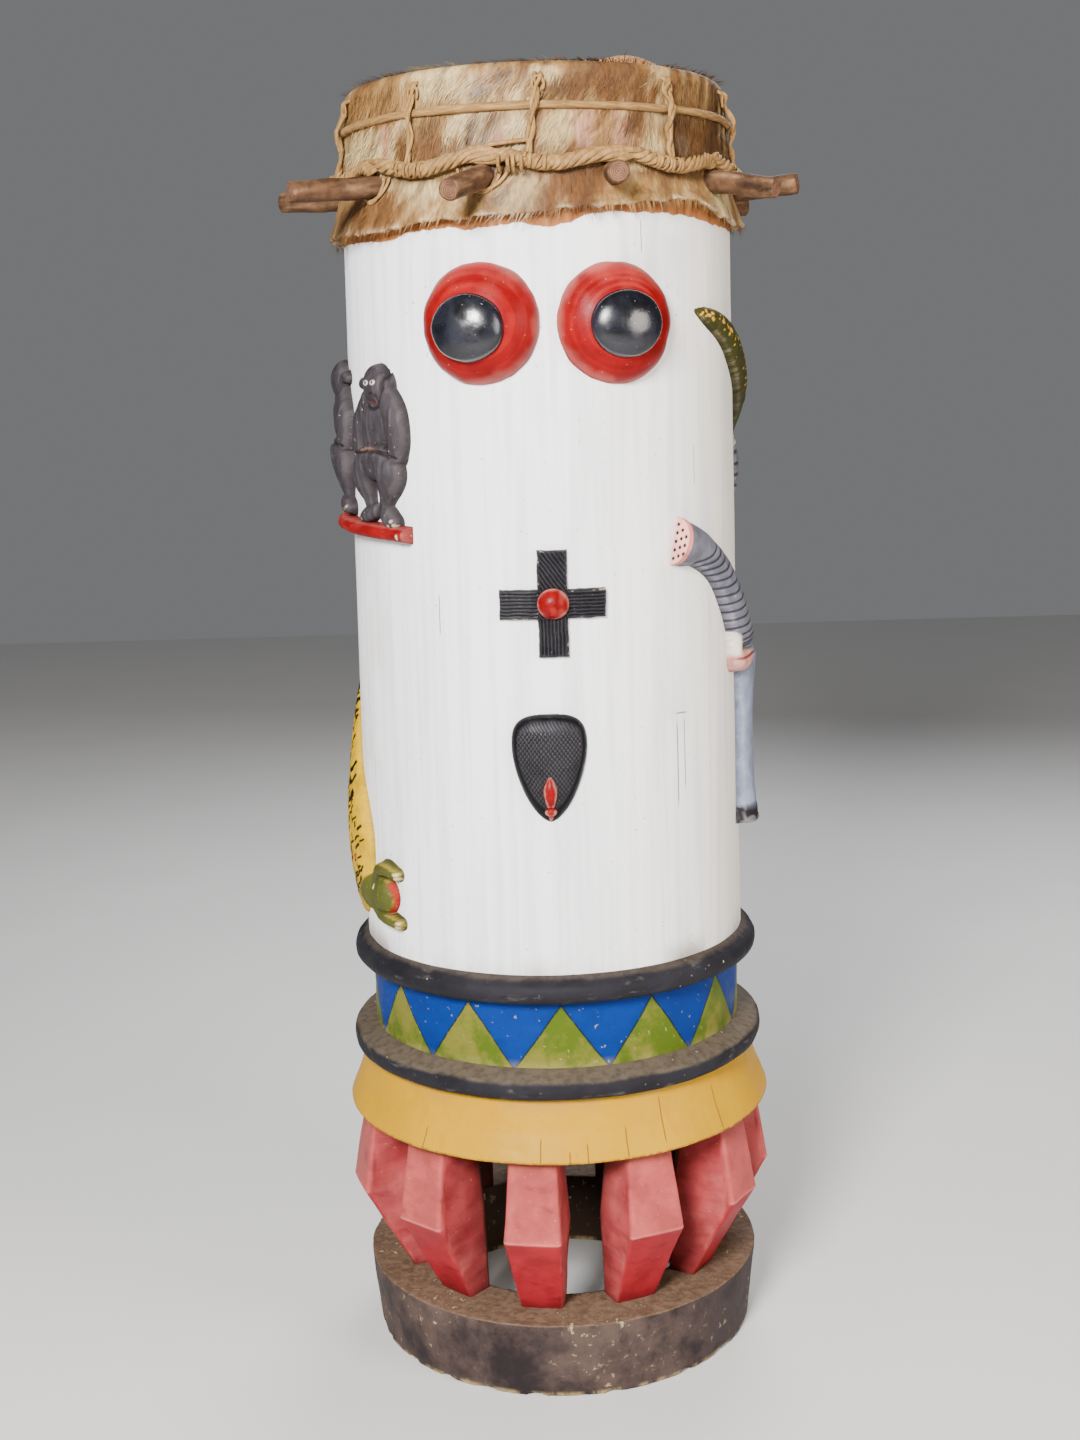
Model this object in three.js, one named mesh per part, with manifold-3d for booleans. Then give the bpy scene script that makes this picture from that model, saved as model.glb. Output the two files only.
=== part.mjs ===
// Ceremonial ritual drum: a tall hollow log, carved outside with figures in relief and standing
// on splayed legs over a foot ring, with a hide head laced to pegs. Millimetres, +Z up, origin at
// the middle of the foot ring's underside, front towards -Y.
import * as THREE from 'three';
import { mergeVertices } from 'three/addons/utils/BufferGeometryUtils.js';
import Module from 'manifold-3d';

const wasm = await Module();
wasm.setup();

// Heights of the drum's stages, from the floor upwards
const footHeight = 95.5;
const legHeight = 207.5;
const flareHeight = 72;
const lowerRingHeight = 31;
const bandHeight = 80;
const upperRingHeight = 33;
const paintedHeight = 836;
const headHeight = 155;

// Radii and walls of the log, whose side leans in from bottom to top, and more under the hide
const bodyRadius = 230;
const sideBottomRadius = 233.5;
const sideTopRadius = 227;
const rimRadius = 213.5;
const wallThickness = 43;
const bandInset = 1.5;
const upperRingReach = 20.5;
const lowerRingReach = 26.5;
const flareTopReach = 10;
const flareBottomReach = 35.2;
const footTopRadius = 248;
const footBottomRadius = 238.5;
const footWall = 81;
const roundSides = 36;

// Legs
const legCount = 11;
const legFirstAngle = -8.1;
const legTopReach = 17;
const legKneeReach = 34;
const legKneeHeight = 109.5;
const legBottomReach = -26;
const legTopWidth = 57;
const legKneeWidth = 69;
const legBottomWidth = 52;
const legSink = 4;

// Hide, hoop, rope, ties and pegs
const fitGap = 0.3;
const hideThickness = 5.7;
const hideTopThickness = 4.5;
const hideEdgeRadius = 9;
const hideOverlap = 145;
const hideHemReach = 13;
const hideHemSlack = 1;
const hideHemWave = 4.2;
const hideSkirtReach = 3;
const hoopRadius = 4.8;
const hoopDrop = 47;
const ropeRadius = 8.5;
const ropeDrop = 106.5;
const ropePress = 2.5;
const ropeRiseSpread = 0.42;
const pegCount = 10;
const pegFirstAngle = 22;
const pegRadius = 13;
const pegTipRadius = 11.5;
const pegDrop = 116;
const pegDepth = 30;
const pegSides = 8;
const pegBevel = 3;
const pegClearance = 0.3;
const tieRadius = 4.2;
const tieSides = 5;
const tieTopDrop = 20;
const tieOffset = -21;

// Each peg leans sideways and down by its own angle, with its reach as a share of the usual one
const pegReach = 92;
const pegPoses = [
  { share: 0.61, sideways: -20, droop: 5 },
  { share: 1, sideways: -6, droop: 10 },
  { share: 0.98, sideways: -25, droop: -3 },
  { share: 1.14, sideways: -20, droop: 0 },
  { share: 0.87, sideways: 4, droop: 4 },
  { share: 0.92, sideways: -3, droop: 7 },
  { share: 0.7, sideways: -15, droop: 3 },
  { share: 0.97, sideways: -32, droop: -2 },
  { share: 1.16, sideways: -12, droop: 5 },
  { share: 0.93, sideways: -12, droop: 15 },
];
// Each tie's top is moved round by its shift, and its foot by its lean from there, in degrees
const tiePoses = [
  { shift: 2.5, lean: -0.5 },
  { shift: 0, lean: 12 },
  { shift: 0, lean: 4 },
  { shift: 0, lean: -3 },
  { shift: 0, lean: 5 },
  { shift: 0, lean: -4 },
  { shift: 0, lean: 2 },
  { shift: 0, lean: -4 },
  { shift: 0, lean: -1 },
  { shift: 0, lean: -3 },
];

// Carvings: where each stands on the painted side (degrees round from the front, and a share of
// the painted height), and its size
const carvingSink = 7;
const perchSink = 5;
const eyeRadius = 65;
const pupilRadius = 36;
const eyeReach = 49;
const eyes = [
  { angle: -16.4, share: 0.869, pupilAcross: -4, pupilUp: -5 },
  { angle: 21, share: 0.866, pupilAcross: 0, pupilUp: -2 },
];
const cross = { angle: 1.5, share: 0.507, width: 119, arm: 34, reach: 6, bossRadius: 17, bossReach: 15 };
const mouth = { angle: -0.5, share: 0.317, width: 84, above: 36, below: 86, reach: 17 };
const ape = { height: 186, share: 0.612 };
// Each ape faces its own way and is as broad and as far across as its neighbour leaves room for
const apes = [
  { angle: -51.5, rise: 0, side: 1, breadth: 0.8, shift: -4.5 },
  { angle: -82.5, rise: 8, side: -1, breadth: 1, shift: 0 },
];
const perch = { startAngle: -40, endAngle: -106, startShare: 0.596, rise: 13, radius: 8.5, reach: 19 };
const lizard = { height: 290, angle: -95, share: 0.04 };
const snake = { height: 210, angle: 90, share: 0.665 };
const elephant = { height: 460, angle: 79, share: 0.158 };

// Levels and radii that follow from the sizes above
const legTop = footHeight + legHeight;
const flareTop = legTop + flareHeight;
const lowerRingTop = flareTop + lowerRingHeight;
const bandTop = lowerRingTop + bandHeight;
const paintBottom = bandTop + upperRingHeight;
const paintTop = paintBottom + paintedHeight;
const logTop = paintTop + headHeight;
const hideTop = logTop + fitGap + hideTopThickness;
const innerRadius = bodyRadius - wallThickness;
const bandRadius = bodyRadius - bandInset;
const hideHem = hideTop - hideOverlap - hideEdgeRadius;
const pegLevel = hideTop - pegDrop;
const ropeLevel = hideTop - ropeDrop;
const hoopLevel = hideTop - hoopDrop;
const pegSpacing = 360 / pegCount;
const sideOutline = [
  [sideBottomRadius, paintBottom],
  [sideTopRadius, paintTop],
  [rimRadius, logTop],
];

const radians = THREE.MathUtils.degToRad;

// The radius of the log's side at a level
function sideRadius(level) {
  const height = THREE.MathUtils.clamp(level, paintBottom, logTop);
  const above = Math.max(1, sideOutline.findIndex(([, top]) => top >= height));
  const [lowRadius, low] = sideOutline[above - 1];
  const [highRadius, high] = sideOutline[above];
  return THREE.MathUtils.mapLinear(height, low, high, lowRadius, highRadius);
}

function hideOuter(level) {
  return sideRadius(level) + fitGap + hideThickness;
}

const hoopRing = hideOuter(hoopLevel) + fitGap + hoopRadius;
// The rope's ring is made of straight steps, so it clears the hide at the middle of each step
const ropeSteps = pegCount * 5;
const ropeFoot = ropeLevel - ropeRadius;
const ropeRing = (hideOuter(ropeFoot) + fitGap) / Math.cos(Math.PI / ropeSteps) + ropeRadius;

// A closed geometry as a solid that can be joined and cut
function solid(geometry) {
  const bare = geometry.clone();
  bare.deleteAttribute('normal');
  bare.deleteAttribute('uv');
  const welded = mergeVertices(bare, 1e-4);
  return new wasm.Manifold(new wasm.Mesh({
    numProp: 3,
    vertProperties: new Float32Array(welded.attributes.position.array),
    triVerts: new Uint32Array(welded.index.array),
  }));
}

function joined(solids) {
  return solids.reduce((whole, next) => whole.add(next));
}

// The main body of a solid, with any crumb or sealed bubble left by joining taken away
function largest(shape) {
  return shape.decompose().reduce((best, next) => (next.volume() > best.volume() ? next : best));
}

function geometryOf(shape) {
  const mesh = shape.getMesh();
  const geometry = new THREE.BufferGeometry();
  geometry.setAttribute('position', new THREE.BufferAttribute(new Float32Array(mesh.vertProperties), 3));
  geometry.setIndex(new THREE.BufferAttribute(new Uint32Array(mesh.triVerts), 1));
  geometry.computeVertexNormals();
  return geometry;
}

// Moves every point of a geometry through a function of that point
function reshape(geometry, move) {
  const positions = geometry.attributes.position;
  const point = new THREE.Vector3();
  for (let i = 0; i < positions.count; i += 1) {
    point.fromBufferAttribute(positions, i);
    move(point);
    positions.setXYZ(i, point.x, point.y, point.z);
  }
  geometry.computeVertexNormals();
  return geometry;
}

// A closed outline of [radius, height] pairs turned about the drum's axis
function turned(outline, sides = roundSides) {
  const points = outline.map(([radius, height]) => new THREE.Vector2(radius, height));
  return new THREE.LatheGeometry(points, sides).rotateX(Math.PI / 2);
}

// Flat carving coordinates are x along the girth, y up and z outwards. This bends them round the
// painted side, about the given angle and height.
function wrapped(geometry, angle, height) {
  return reshape(geometry, (point) => {
    const turn = radians(angle) + point.x / bodyRadius;
    const level = height + point.y;
    const radius = sideRadius(level) + point.z;
    point.set(radius * Math.sin(turn), -radius * Math.cos(turn), level);
  });
}

function paintedLevel(share) {
  return paintBottom + share * paintedHeight;
}

// A low form turned about its own outward axis: profile gives [share of radius, reach] pairs, and
// outline gives the radius for each direction
function mound(profile, outline, sides) {
  const points = [[0, -carvingSink], [1, -carvingSink], ...profile];
  const vectors = points.map(([share, reach]) => new THREE.Vector2(share, reach));
  const geometry = new THREE.LatheGeometry(vectors, sides).rotateX(Math.PI / 2);
  return reshape(geometry, (point) => {
    const size = outline(Math.atan2(point.y, point.x));
    point.x *= size;
    point.y *= size;
  });
}

// An ellipsoid in flat coordinates, turned by tilt degrees in the plane of the side
function blob(centre, halves, tilt = 0, sides = 8, rows = 5) {
  const geometry = new THREE.SphereGeometry(1, sides, rows);
  geometry.rotateX(Math.PI / 2);
  geometry.scale(...halves);
  geometry.rotateZ(radians(tilt));
  geometry.translate(...centre);
  return geometry;
}

// A limb with flat ends along a smooth line of [x, y, z, half width] points, with its reach off the
// side given as a share of that half width
function limb(stations, depth = 1, sides = 8, steps = stations.length * 2) {
  const line = new THREE.CatmullRomCurve3(stations.map(([x, y, z]) => new THREE.Vector3(x, y, z)));
  const widths = new THREE.CatmullRomCurve3(stations.map((s, i) => new THREE.Vector3(i, s[3], 0)));
  const tube = new THREE.CylinderGeometry(1, 1, 1, sides, steps);
  const outward = new THREE.Vector3(0, 0, 1);
  return reshape(tube, (point) => {
    const share = THREE.MathUtils.clamp(0.5 - point.y, 0, 1);
    const centre = line.getPoint(share);
    const along = line.getTangent(share);
    const across = new THREE.Vector3().crossVectors(outward, along).normalize();
    const lift = new THREE.Vector3().crossVectors(along, across);
    const width = widths.getPoint(share).y;
    const x = point.x * width;
    const z = point.z * width * depth;
    point.copy(centre).addScaledVector(across, x).addScaledVector(lift, z);
  });
}

// The log's own wall, from the flare's underside to the rim under the hide
function logWall() {
  const upperRing = bodyRadius + upperRingReach;
  const lowerRing = bodyRadius + lowerRingReach;
  const upperBulge = bandTop + upperRingHeight / 2;
  const lowerBulge = flareTop + lowerRingHeight / 2;
  const quarter = 0.25;
  return turned([
    [innerRadius, legTop],
    [bodyRadius + flareBottomReach, legTop],
    [bodyRadius + flareTopReach, flareTop],
    [lowerRing, lowerBulge - quarter * lowerRingHeight],
    [lowerRing, lowerBulge + quarter * lowerRingHeight],
    [bandRadius, lowerRingTop],
    [bandRadius, bandTop],
    [upperRing, upperBulge - quarter * upperRingHeight],
    [upperRing, upperBulge + quarter * upperRingHeight],
    ...sideOutline,
    [innerRadius, logTop],
    [innerRadius, legTop],
  ]);
}

function footRing() {
  const footInner = footTopRadius - footWall;
  return turned([
    [footInner, 0],
    [footBottomRadius, 0],
    [footTopRadius, footHeight],
    [footInner, footHeight],
    [footInner, 0],
  ]);
}

// One splayed leg, kinked outwards at its knee, with its foot on the ring and its top in the flare
function leg(angle) {
  const kneeLevel = footHeight + legKneeHeight;
  const footInner = footTopRadius - footWall;
  const top = legTop + legSink;
  const bottom = footHeight - legSink;
  const outline = new THREE.Shape([
    new THREE.Vector2(footInner + 1, bottom),
    new THREE.Vector2(bodyRadius + legBottomReach, bottom),
    new THREE.Vector2(bodyRadius + legBottomReach, footHeight),
    new THREE.Vector2(bodyRadius + legKneeReach, kneeLevel),
    new THREE.Vector2(bodyRadius + legTopReach, legTop),
    new THREE.Vector2(bodyRadius + legTopReach, top),
    new THREE.Vector2(innerRadius + 1, top),
  ]);
  const geometry = new THREE.ExtrudeGeometry(outline, { depth: 1, bevelEnabled: false, steps: 1 });
  reshape(geometry, (point) => {
    const [end, endWidth] = point.y >= kneeLevel ? [top, legTopWidth] : [bottom, legBottomWidth];
    const share = (point.y - kneeLevel) / (end - kneeLevel);
    point.z = (point.z - 0.5) * THREE.MathUtils.lerp(legKneeWidth, endWidth, share);
  });
  const turn = radians(angle);
  const outward = new THREE.Vector3(Math.sin(turn), -Math.cos(turn), 0);
  const up = new THREE.Vector3(0, 0, 1);
  const across = new THREE.Vector3().crossVectors(outward, up);
  return geometry.applyMatrix4(new THREE.Matrix4().makeBasis(outward, up, across));
}

// A red dome with the black ball of the pupil standing out of it, a little off its middle
function eye(place) {
  const dome = mound([
    [1, 0.06 * eyeReach],
    [0.93, 0.23 * eyeReach],
    [0.78, 0.44 * eyeReach],
    [0.55, 0.62 * eyeReach],
    [0, 0.72 * eyeReach],
  ], () => eyeRadius, 18);
  const pupil = mound([
    [1, 0.69 * eyeReach],
    [0.6, 0.93 * eyeReach],
    [0, eyeReach],
  ], () => pupilRadius, 14).translate(place.pupilAcross, place.pupilUp, 0);
  return [dome, pupil].map((piece) => wrapped(piece, place.angle, paintedLevel(place.share)));
}

function crossCarving() {
  const depth = cross.reach + carvingSink;
  const middle = (cross.reach - carvingSink) / 2;
  const level = new THREE.BoxGeometry(cross.width, cross.arm, depth, 8, 1, 1).translate(0, 0, middle);
  const upright = new THREE.BoxGeometry(cross.arm, cross.width, depth, 3, 1, 1).translate(0, 0, middle);
  const boss = mound([
    [1, cross.reach],
    [0.8, cross.reach + 0.62 * cross.bossReach],
    [0.45, cross.reach + 0.9 * cross.bossReach],
    [0, cross.reach + cross.bossReach],
  ], () => cross.bossRadius, 12);
  return [level, upright, boss].map((piece) => wrapped(piece, cross.angle, paintedLevel(cross.share)));
}

// The shield-shaped mouth, flat above and pointed below, with a red spindle on its lower half
function mouthCarving() {
  const outline = (direction) => {
    const across = Math.cos(direction);
    const rise = Math.sin(direction);
    const half = mouth.width / 2;
    const length = rise > 0 ? mouth.above : mouth.below;
    const squareness = rise > 0 ? 3 : 1.6;
    const sum = (Math.abs(across) / half) ** squareness + (Math.abs(rise) / length) ** squareness;
    return sum ** (-1 / squareness);
  };
  const shield = mound([
    [1, 2],
    [0.95, 0.3 * mouth.reach],
    [0.6, 0.8 * mouth.reach],
    [0, mouth.reach],
  ], outline, 20);
  const tongue = limb([
    [0, -0.38 * mouth.below, 0.88 * mouth.reach, 3],
    [0, -0.56 * mouth.below, 0.92 * mouth.reach, 7],
    [0, -0.76 * mouth.below, 0.68 * mouth.reach, 4],
    [0, -0.85 * mouth.below, 0.55 * mouth.reach, 6],
    [0, -0.91 * mouth.below, 0.35 * mouth.reach, 3],
  ], 0.9, 6, 6);
  return [shield, tongue].map((piece) => wrapped(piece, mouth.angle, paintedLevel(mouth.share)));
}

// A standing ape seen from the front, in hundredths of its height; side mirrors it
function apeCarving({ angle, rise, side, breadth, shift }) {
  const unit = ape.height / 100;
  const across = (x) => side * (breadth * x + shift) * unit;
  const round = (x, y, z, wide, high, deep, tilt, sides, rows) => blob(
    [across(x), y * unit, z * unit],
    [breadth * wide * unit, high * unit, deep * unit],
    side * tilt,
    sides,
    rows,
  );
  const arm = (points, sides, steps) => limb(
    points.map(([x, y, z, width]) => [across(x), y * unit, z * unit, width * unit]),
    1,
    sides,
    steps,
  );
  const pieces = [
    round(5.6, 83, 1.5, 13.5, 12.5, 9.5, 8, 8, 5),
    round(9.4, 79.5, 6, 7.5, 7, 6, 0, 6, 4),
    round(5, 60, 1, 20, 21, 9.5, -6, 8, 5),
    round(6, 38, 2, 22, 13, 10, 0, 8, 4),
    arm([[-8, 75, 2, 6], [-16, 60, 3, 7], [-17, 45, 4, 6], [-12, 40, 6, 4]], 5, 3),
    arm([[14, 79, 2, 7], [24, 66, 3, 8], [28, 50, 3, 7], [26, 40, 5, 5]], 5, 3),
    arm([[-10, 38, 3, 10], [-15, 28, 4, 9], [-9, 15, 2, 6.5], [-6, 6, 1, 5]], 6, 3),
    arm([[14, 38, 3, 12], [21, 28, 4, 10.5], [14, 15, 2, 7], [10, 7, 1, 5.5]], 6, 3),
    arm([[-5, 7, 1, 5], [-12, 5, 3, 5], [-18, 3, 4, 3.5]], 5, 1),
    arm([[10, 8, 1, 5.5], [15, 4, 3, 5.5], [21, 0, 4, 4]], 5, 1),
    arm([[-8, 82, 3, 3.2], [-13, 84.5, 3, 3.4], [-17, 83.5, 2, 3]], 5, 1),
  ];
  return pieces.map((piece) => wrapped(piece, angle, paintedLevel(ape.share) + rise));
}

// The round bar that the apes stand on, bent with the side and rising towards the back
function perchCarving() {
  const sweep = perch.endAngle - perch.startAngle;
  const length = radians(sweep) * bodyRadius;
  const middle = (perch.reach - perchSink) / 2;
  const depth = (perch.reach + perchSink) / 2 / perch.radius;
  const stations = [0, 0.25, 0.5, 0.75, 1].map((share) => (
    [share * length, share ** 0.8 * perch.rise, middle, perch.radius]
  ));
  return [wrapped(limb(stations, depth, 8, 9), perch.startAngle, paintedLevel(perch.startShare))];
}

// The lizard climbs down with its head turned to the front, in hundredths of its length
function lizardCarving() {
  const unit = lizard.height / 100;
  const part = (points, depth, sides, steps) => limb(
    points.map(([x, y, z, width]) => [x * unit, y * unit, z * unit, width * unit]),
    depth,
    sides,
    steps,
  );
  const pieces = [
    part([[3, 100, -1, 1.5], [1, 86, 0, 7], [0, 68, 0, 14.5], [7, 51, 0, 18], [18, 34, 0, 20],
      [21, 19, 0, 16.5], [20, 7, 0, 9.5]], 0.36, 8, 9),
    blob([29 * unit, 12 * unit, 0], [19 * unit, 9 * unit, 4.5 * unit], -8),
    blob([52.5 * unit, 13 * unit, 0.5 * unit], [8.2 * unit, 7.8 * unit, 6 * unit], -20),
    part([[43, 15, 0, 3], [47, 21.5, 1.5, 2.8], [53, 24.2, 2.5, 2.7], [61, 22.8, 1.5, 2.4]], 1, 6, 4),
    part([[40, 9, 0, 3], [47, 5.8, 1.5, 2.9], [54, 4, 2.5, 2.7], [62, 2.6, 1.5, 2.4]], 1, 6, 3),
    part([[-6, 74, 0, 4], [-16, 84, 2, 3.6], [-23, 80, 1, 3]], 1, 5, 3),
    part([[-8, 56, 0, 4], [-20, 52, 2, 3.6], [-25, 44, 1, 3]], 1, 5, 3),
  ];
  return pieces.map((piece) => wrapped(piece, lizard.angle, paintedLevel(lizard.share)));
}

// The snake's tail tip points to the front and its body loops round to the back, in hundredths
function snakeCarving() {
  const unit = snake.height / 100;
  const body = [
    [-77, 86, 0, 1.5], [-66, 83, 1, 5], [-48, 76, 1, 7.5], [-24, 61, 1, 9], [3, 43, 1, 9.5],
    [24, 28, 1, 9], [38, 8, 0.5, 8], [52, -10, 0.5, 7.5], [74, -8, 0.5, 8], [84, 14, 0.5, 8],
    [76, 36, 0.5, 6.5], [62, 50, 1, 6],
  ].map(([x, y, z, width]) => [x * unit, y * unit, z * unit, width * unit]);
  const head = blob([55 * unit, 58 * unit, unit], [8 * unit, 12 * unit, 8 * unit], 35);
  return [limb(body, 0.8, 6, 17), head].map((piece) => (
    wrapped(piece, snake.angle, paintedLevel(snake.share))
  ));
}

// The elephant stands on its front leg with its trunk raised to the front, in hundredths
function elephantCarving() {
  const unit = elephant.height / 100;
  const part = (points, depth, sides, steps) => limb(
    points.map(([x, y, z, width]) => [x * unit, y * unit, z * unit, width * unit]),
    depth,
    sides,
    steps,
  );
  const lump = (x, y, z, wide, high, deep, tilt = 0) => blob(
    [x * unit, y * unit, z * unit],
    [wide * unit, high * unit, deep * unit],
    tilt,
  );
  const pieces = [
    part([[-33, 76, 0, 5.6], [-28, 74.5, 0.2, 4.7], [-19.5, 69, 0.3, 4.2], [-12, 60.5, 0.5, 4.6],
      [-6, 52, 0.6, 5], [-1, 49, 0, 5]], 0.95, 7, 9),
    part([[-9.5, 51, 0.5, 2.6], [-9, 46, 1, 2.2]], 1.1, 6, 2),
    part([[-8.5, 44, 1, 3], [-2, 44, 1, 3.4], [4, 46, 1, 3]], 1.1, 6, 3),
    lump(9, 52, -1.5, 10, 11, 5, 12),
    lump(22, 90, 0, 7, 13, 4, 30),
    part([[0, 44, 0, 5.2], [0, 30, 0, 4.2], [0, 14, 0, 4.4], [0, 3.5, 0, 4.8]], 1, 7, 4),
    part([[0, 3.6, 0, 5.2], [0, 0, 0, 5.4]], 1.05, 8, 1),
    lump(30, 44, -1, 24, 17, 6.2),
    part([[47, 38, 0, 6.5], [50, 20, 0, 5], [50, 3.5, 0, 5]], 0.9, 7, 3),
    part([[50, 3.6, 0, 5.4], [50, 0, 0, 5.6]], 0.95, 8, 1),
    part([[54, 50, 0, 2], [60, 40, 0.5, 1.6], [60, 28, 0.5, 2.4]], 1, 5, 3),
  ];
  return pieces.map((piece) => wrapped(piece, elephant.angle, paintedLevel(elephant.share)));
}

// Where one peg starts in the wall, and how it lies
function pegFrame(index) {
  const pose = pegPoses[index];
  const turn = radians(pegFirstAngle + index * pegSpacing);
  const lean = turn + radians(pose.sideways);
  const droop = radians(pose.droop);
  const surface = new THREE.Vector3(Math.sin(turn), -Math.cos(turn), 0);
  surface.multiplyScalar(sideRadius(pegLevel));
  surface.z = pegLevel;
  const direction = new THREE.Vector3(
    Math.sin(lean) * Math.cos(droop),
    -Math.cos(lean) * Math.cos(droop),
    -Math.sin(droop),
  );
  return { surface, direction, reach: pegReach * pose.share };
}

// A peg, or with a clearance the room that it needs
function pegGeometry(index, clearance) {
  const { surface, direction, reach } = pegFrame(index);
  const root = pegRadius + clearance;
  const tip = pegTipRadius + clearance;
  const points = [
    [0, -pegDepth - clearance],
    [root, -pegDepth - clearance],
    [tip, reach - pegBevel],
    [tip - pegBevel, reach],
    [0, reach],
  ].map(([radius, along]) => new THREE.Vector2(radius, along));
  const geometry = new THREE.LatheGeometry(points, pegSides);
  const turnTo = new THREE.Quaternion().setFromUnitVectors(new THREE.Vector3(0, 1, 0), direction);
  geometry.applyQuaternion(turnTo);
  return geometry.translate(surface.x, surface.y, surface.z);
}

const pegIndexes = Array.from({ length: pegCount }, (_, index) => index);
const pegRoom = joined(pegIndexes.map((index) => solid(pegGeometry(index, pegClearance))));

function drumBody() {
  const legs = Array.from({ length: legCount }, (_, index) => (
    leg(legFirstAngle + (index * 360) / legCount)
  ));
  const carvings = [
    ...eyes.flatMap(eye),
    ...crossCarving(),
    ...mouthCarving(),
    ...apes.flatMap(apeCarving),
    ...perchCarving(),
    ...lizardCarving(),
    ...snakeCarving(),
    ...elephantCarving(),
  ];
  const whole = joined([logWall(), footRing(), ...legs, ...carvings].map(solid));
  return geometryOf(largest(whole.subtract(pegRoom)));
}

// The hide: a flat head with a rounded rim and a skirt down over the log, ragged along its hem
function hide() {
  const hemRadius = sideTopRadius + fitGap + hideHemSlack;
  const skirtTop = pegLevel - pegRadius;
  const rimFoot = hideTop - hideEdgeRadius;
  const rim = hideOuter(hideTop);
  const geometry = turned([
    [0, logTop + fitGap],
    [rimRadius + fitGap, logTop + fitGap],
    [hemRadius, hideHem],
    [hemRadius + hideHemReach, hideHem],
    [hideOuter(skirtTop) + hideSkirtReach, skirtTop],
    [hideOuter(ropeFoot), ropeFoot],
    [hideOuter(rimFoot), rimFoot],
    [rim - 0.3 * hideEdgeRadius, hideTop - 0.3 * hideEdgeRadius],
    [rim - hideEdgeRadius, hideTop],
    [0, hideTop],
  ]);
  reshape(geometry, (point) => {
    const depth = THREE.MathUtils.clamp((skirtTop - point.z) / (skirtTop - hideHem), 0, 1);
    const turn = Math.atan2(point.x, -point.y);
    const wave = Math.sin(3 * turn - 0.9) + 0.6 * Math.sin(7 * turn + 1.1);
    point.z += depth * hideHemWave * wave;
  });
  return geometryOf(solid(geometry).subtract(pegRoom));
}

function hoop() {
  return new THREE.TorusGeometry(hoopRing, hoopRadius, 5, roundSides).translate(0, 0, hoopLevel);
}

// The rope's height at an angle in degrees: it lifts over each peg and is pressed down onto it
function ropeHeightAt(angle) {
  const over = pegLevel + pegRadius + pegClearance + ropeRadius - ropePress - ropeLevel;
  const fromMiddle = THREE.MathUtils.euclideanModulo(angle - pegFirstAngle, pegSpacing) - pegSpacing / 2;
  const fromPeg = pegSpacing / 2 - Math.abs(fromMiddle);
  const share = Math.max(0, 1 - fromPeg / (ropeRiseSpread * pegSpacing));
  return ropeLevel + Math.max(0, over) * Math.sin((share * Math.PI) / 2);
}

function rope() {
  const geometry = new THREE.TorusGeometry(ropeRing, ropeRadius, 5, ropeSteps);
  reshape(geometry, (point) => {
    const angle = THREE.MathUtils.radToDeg(Math.atan2(point.x, -point.y));
    point.z += ropeHeightAt(angle);
  });
  return geometryOf(solid(geometry).subtract(pegRoom));
}

// A tie runs from the hide over the hoop down to the rope
function tie(index) {
  const { shift, lean } = tiePoses[index];
  const angle = pegFirstAngle + (index + 1) * pegSpacing + tieOffset + shift;
  const laid = (level, slack) => [hideOuter(level) + fitGap + tieRadius + slack, level];
  const proud = hoopRing + hoopRadius + fitGap + tieRadius;
  const top = hideTop - tieTopDrop;
  const bottom = ropeHeightAt(angle + lean) + ropeRadius + fitGap + tieRadius;
  const clear = hoopRadius + 1.6 * tieRadius;
  const levels = [
    laid(top, 0),
    laid(hoopLevel + 1.6 * clear, 1),
    [proud, hoopLevel + 0.5 * hoopRadius],
    [proud, hoopLevel - 0.5 * hoopRadius],
    laid(hoopLevel - 1.8 * clear, 2),
    laid((hoopLevel + bottom) / 2, 1),
    laid(bottom, 2),
  ];
  const points = levels.map(([radius, level]) => {
    const share = (top - level) / (top - bottom);
    const turn = radians(angle + lean * share);
    return new THREE.Vector3(radius * Math.sin(turn), -radius * Math.cos(turn), level);
  });
  const section = new THREE.Shape(Array.from({ length: tieSides }, (_, corner) => {
    const turn = (corner * 2 * Math.PI) / tieSides;
    return new THREE.Vector2(tieRadius * Math.cos(turn), tieRadius * Math.sin(turn));
  }));
  return new THREE.ExtrudeGeometry(section, {
    steps: 8,
    bevelEnabled: false,
    extrudePath: new THREE.CatmullRomCurve3(points),
  });
}

function finish(color, roughness) {
  return new THREE.MeshStandardMaterial({ color, roughness, metalness: 0 });
}

const whitePaint = finish('#e4e4e6', 0.55);
const cowhide = finish('#c39a62', 0.85);
const cane = finish('#c8aa78', 0.6);
const bareStick = finish('#785f50', 0.8);

function named(name, geometry, material) {
  const mesh = new THREE.Mesh(geometry, material);
  mesh.name = name;
  return mesh;
}

const drum = new THREE.Group();
drum.add(named('drum_body', drumBody(), whitePaint));
drum.add(named('drumhead_hide', hide(), cowhide));
drum.add(named('cane_hoop', hoop(), cane));
drum.add(named('lacing_rope', rope(), cane));
pegIndexes.forEach((index) => {
  const number = String(index + 1).padStart(2, '0');
  drum.add(named(`peg_${number}`, pegGeometry(index, 0), bareStick));
  drum.add(named(`tie_${number}`, tie(index), cane));
});

export default drum;
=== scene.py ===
# Ceremonial ritual drum: the finish of its painted log, carvings, hair-on hide, cane lashing and
# pegs. Metres, +Z up, origin at the middle of the foot ring's underside, front towards -Y.
# Angles go round from the front, positive towards +X.
import math

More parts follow.
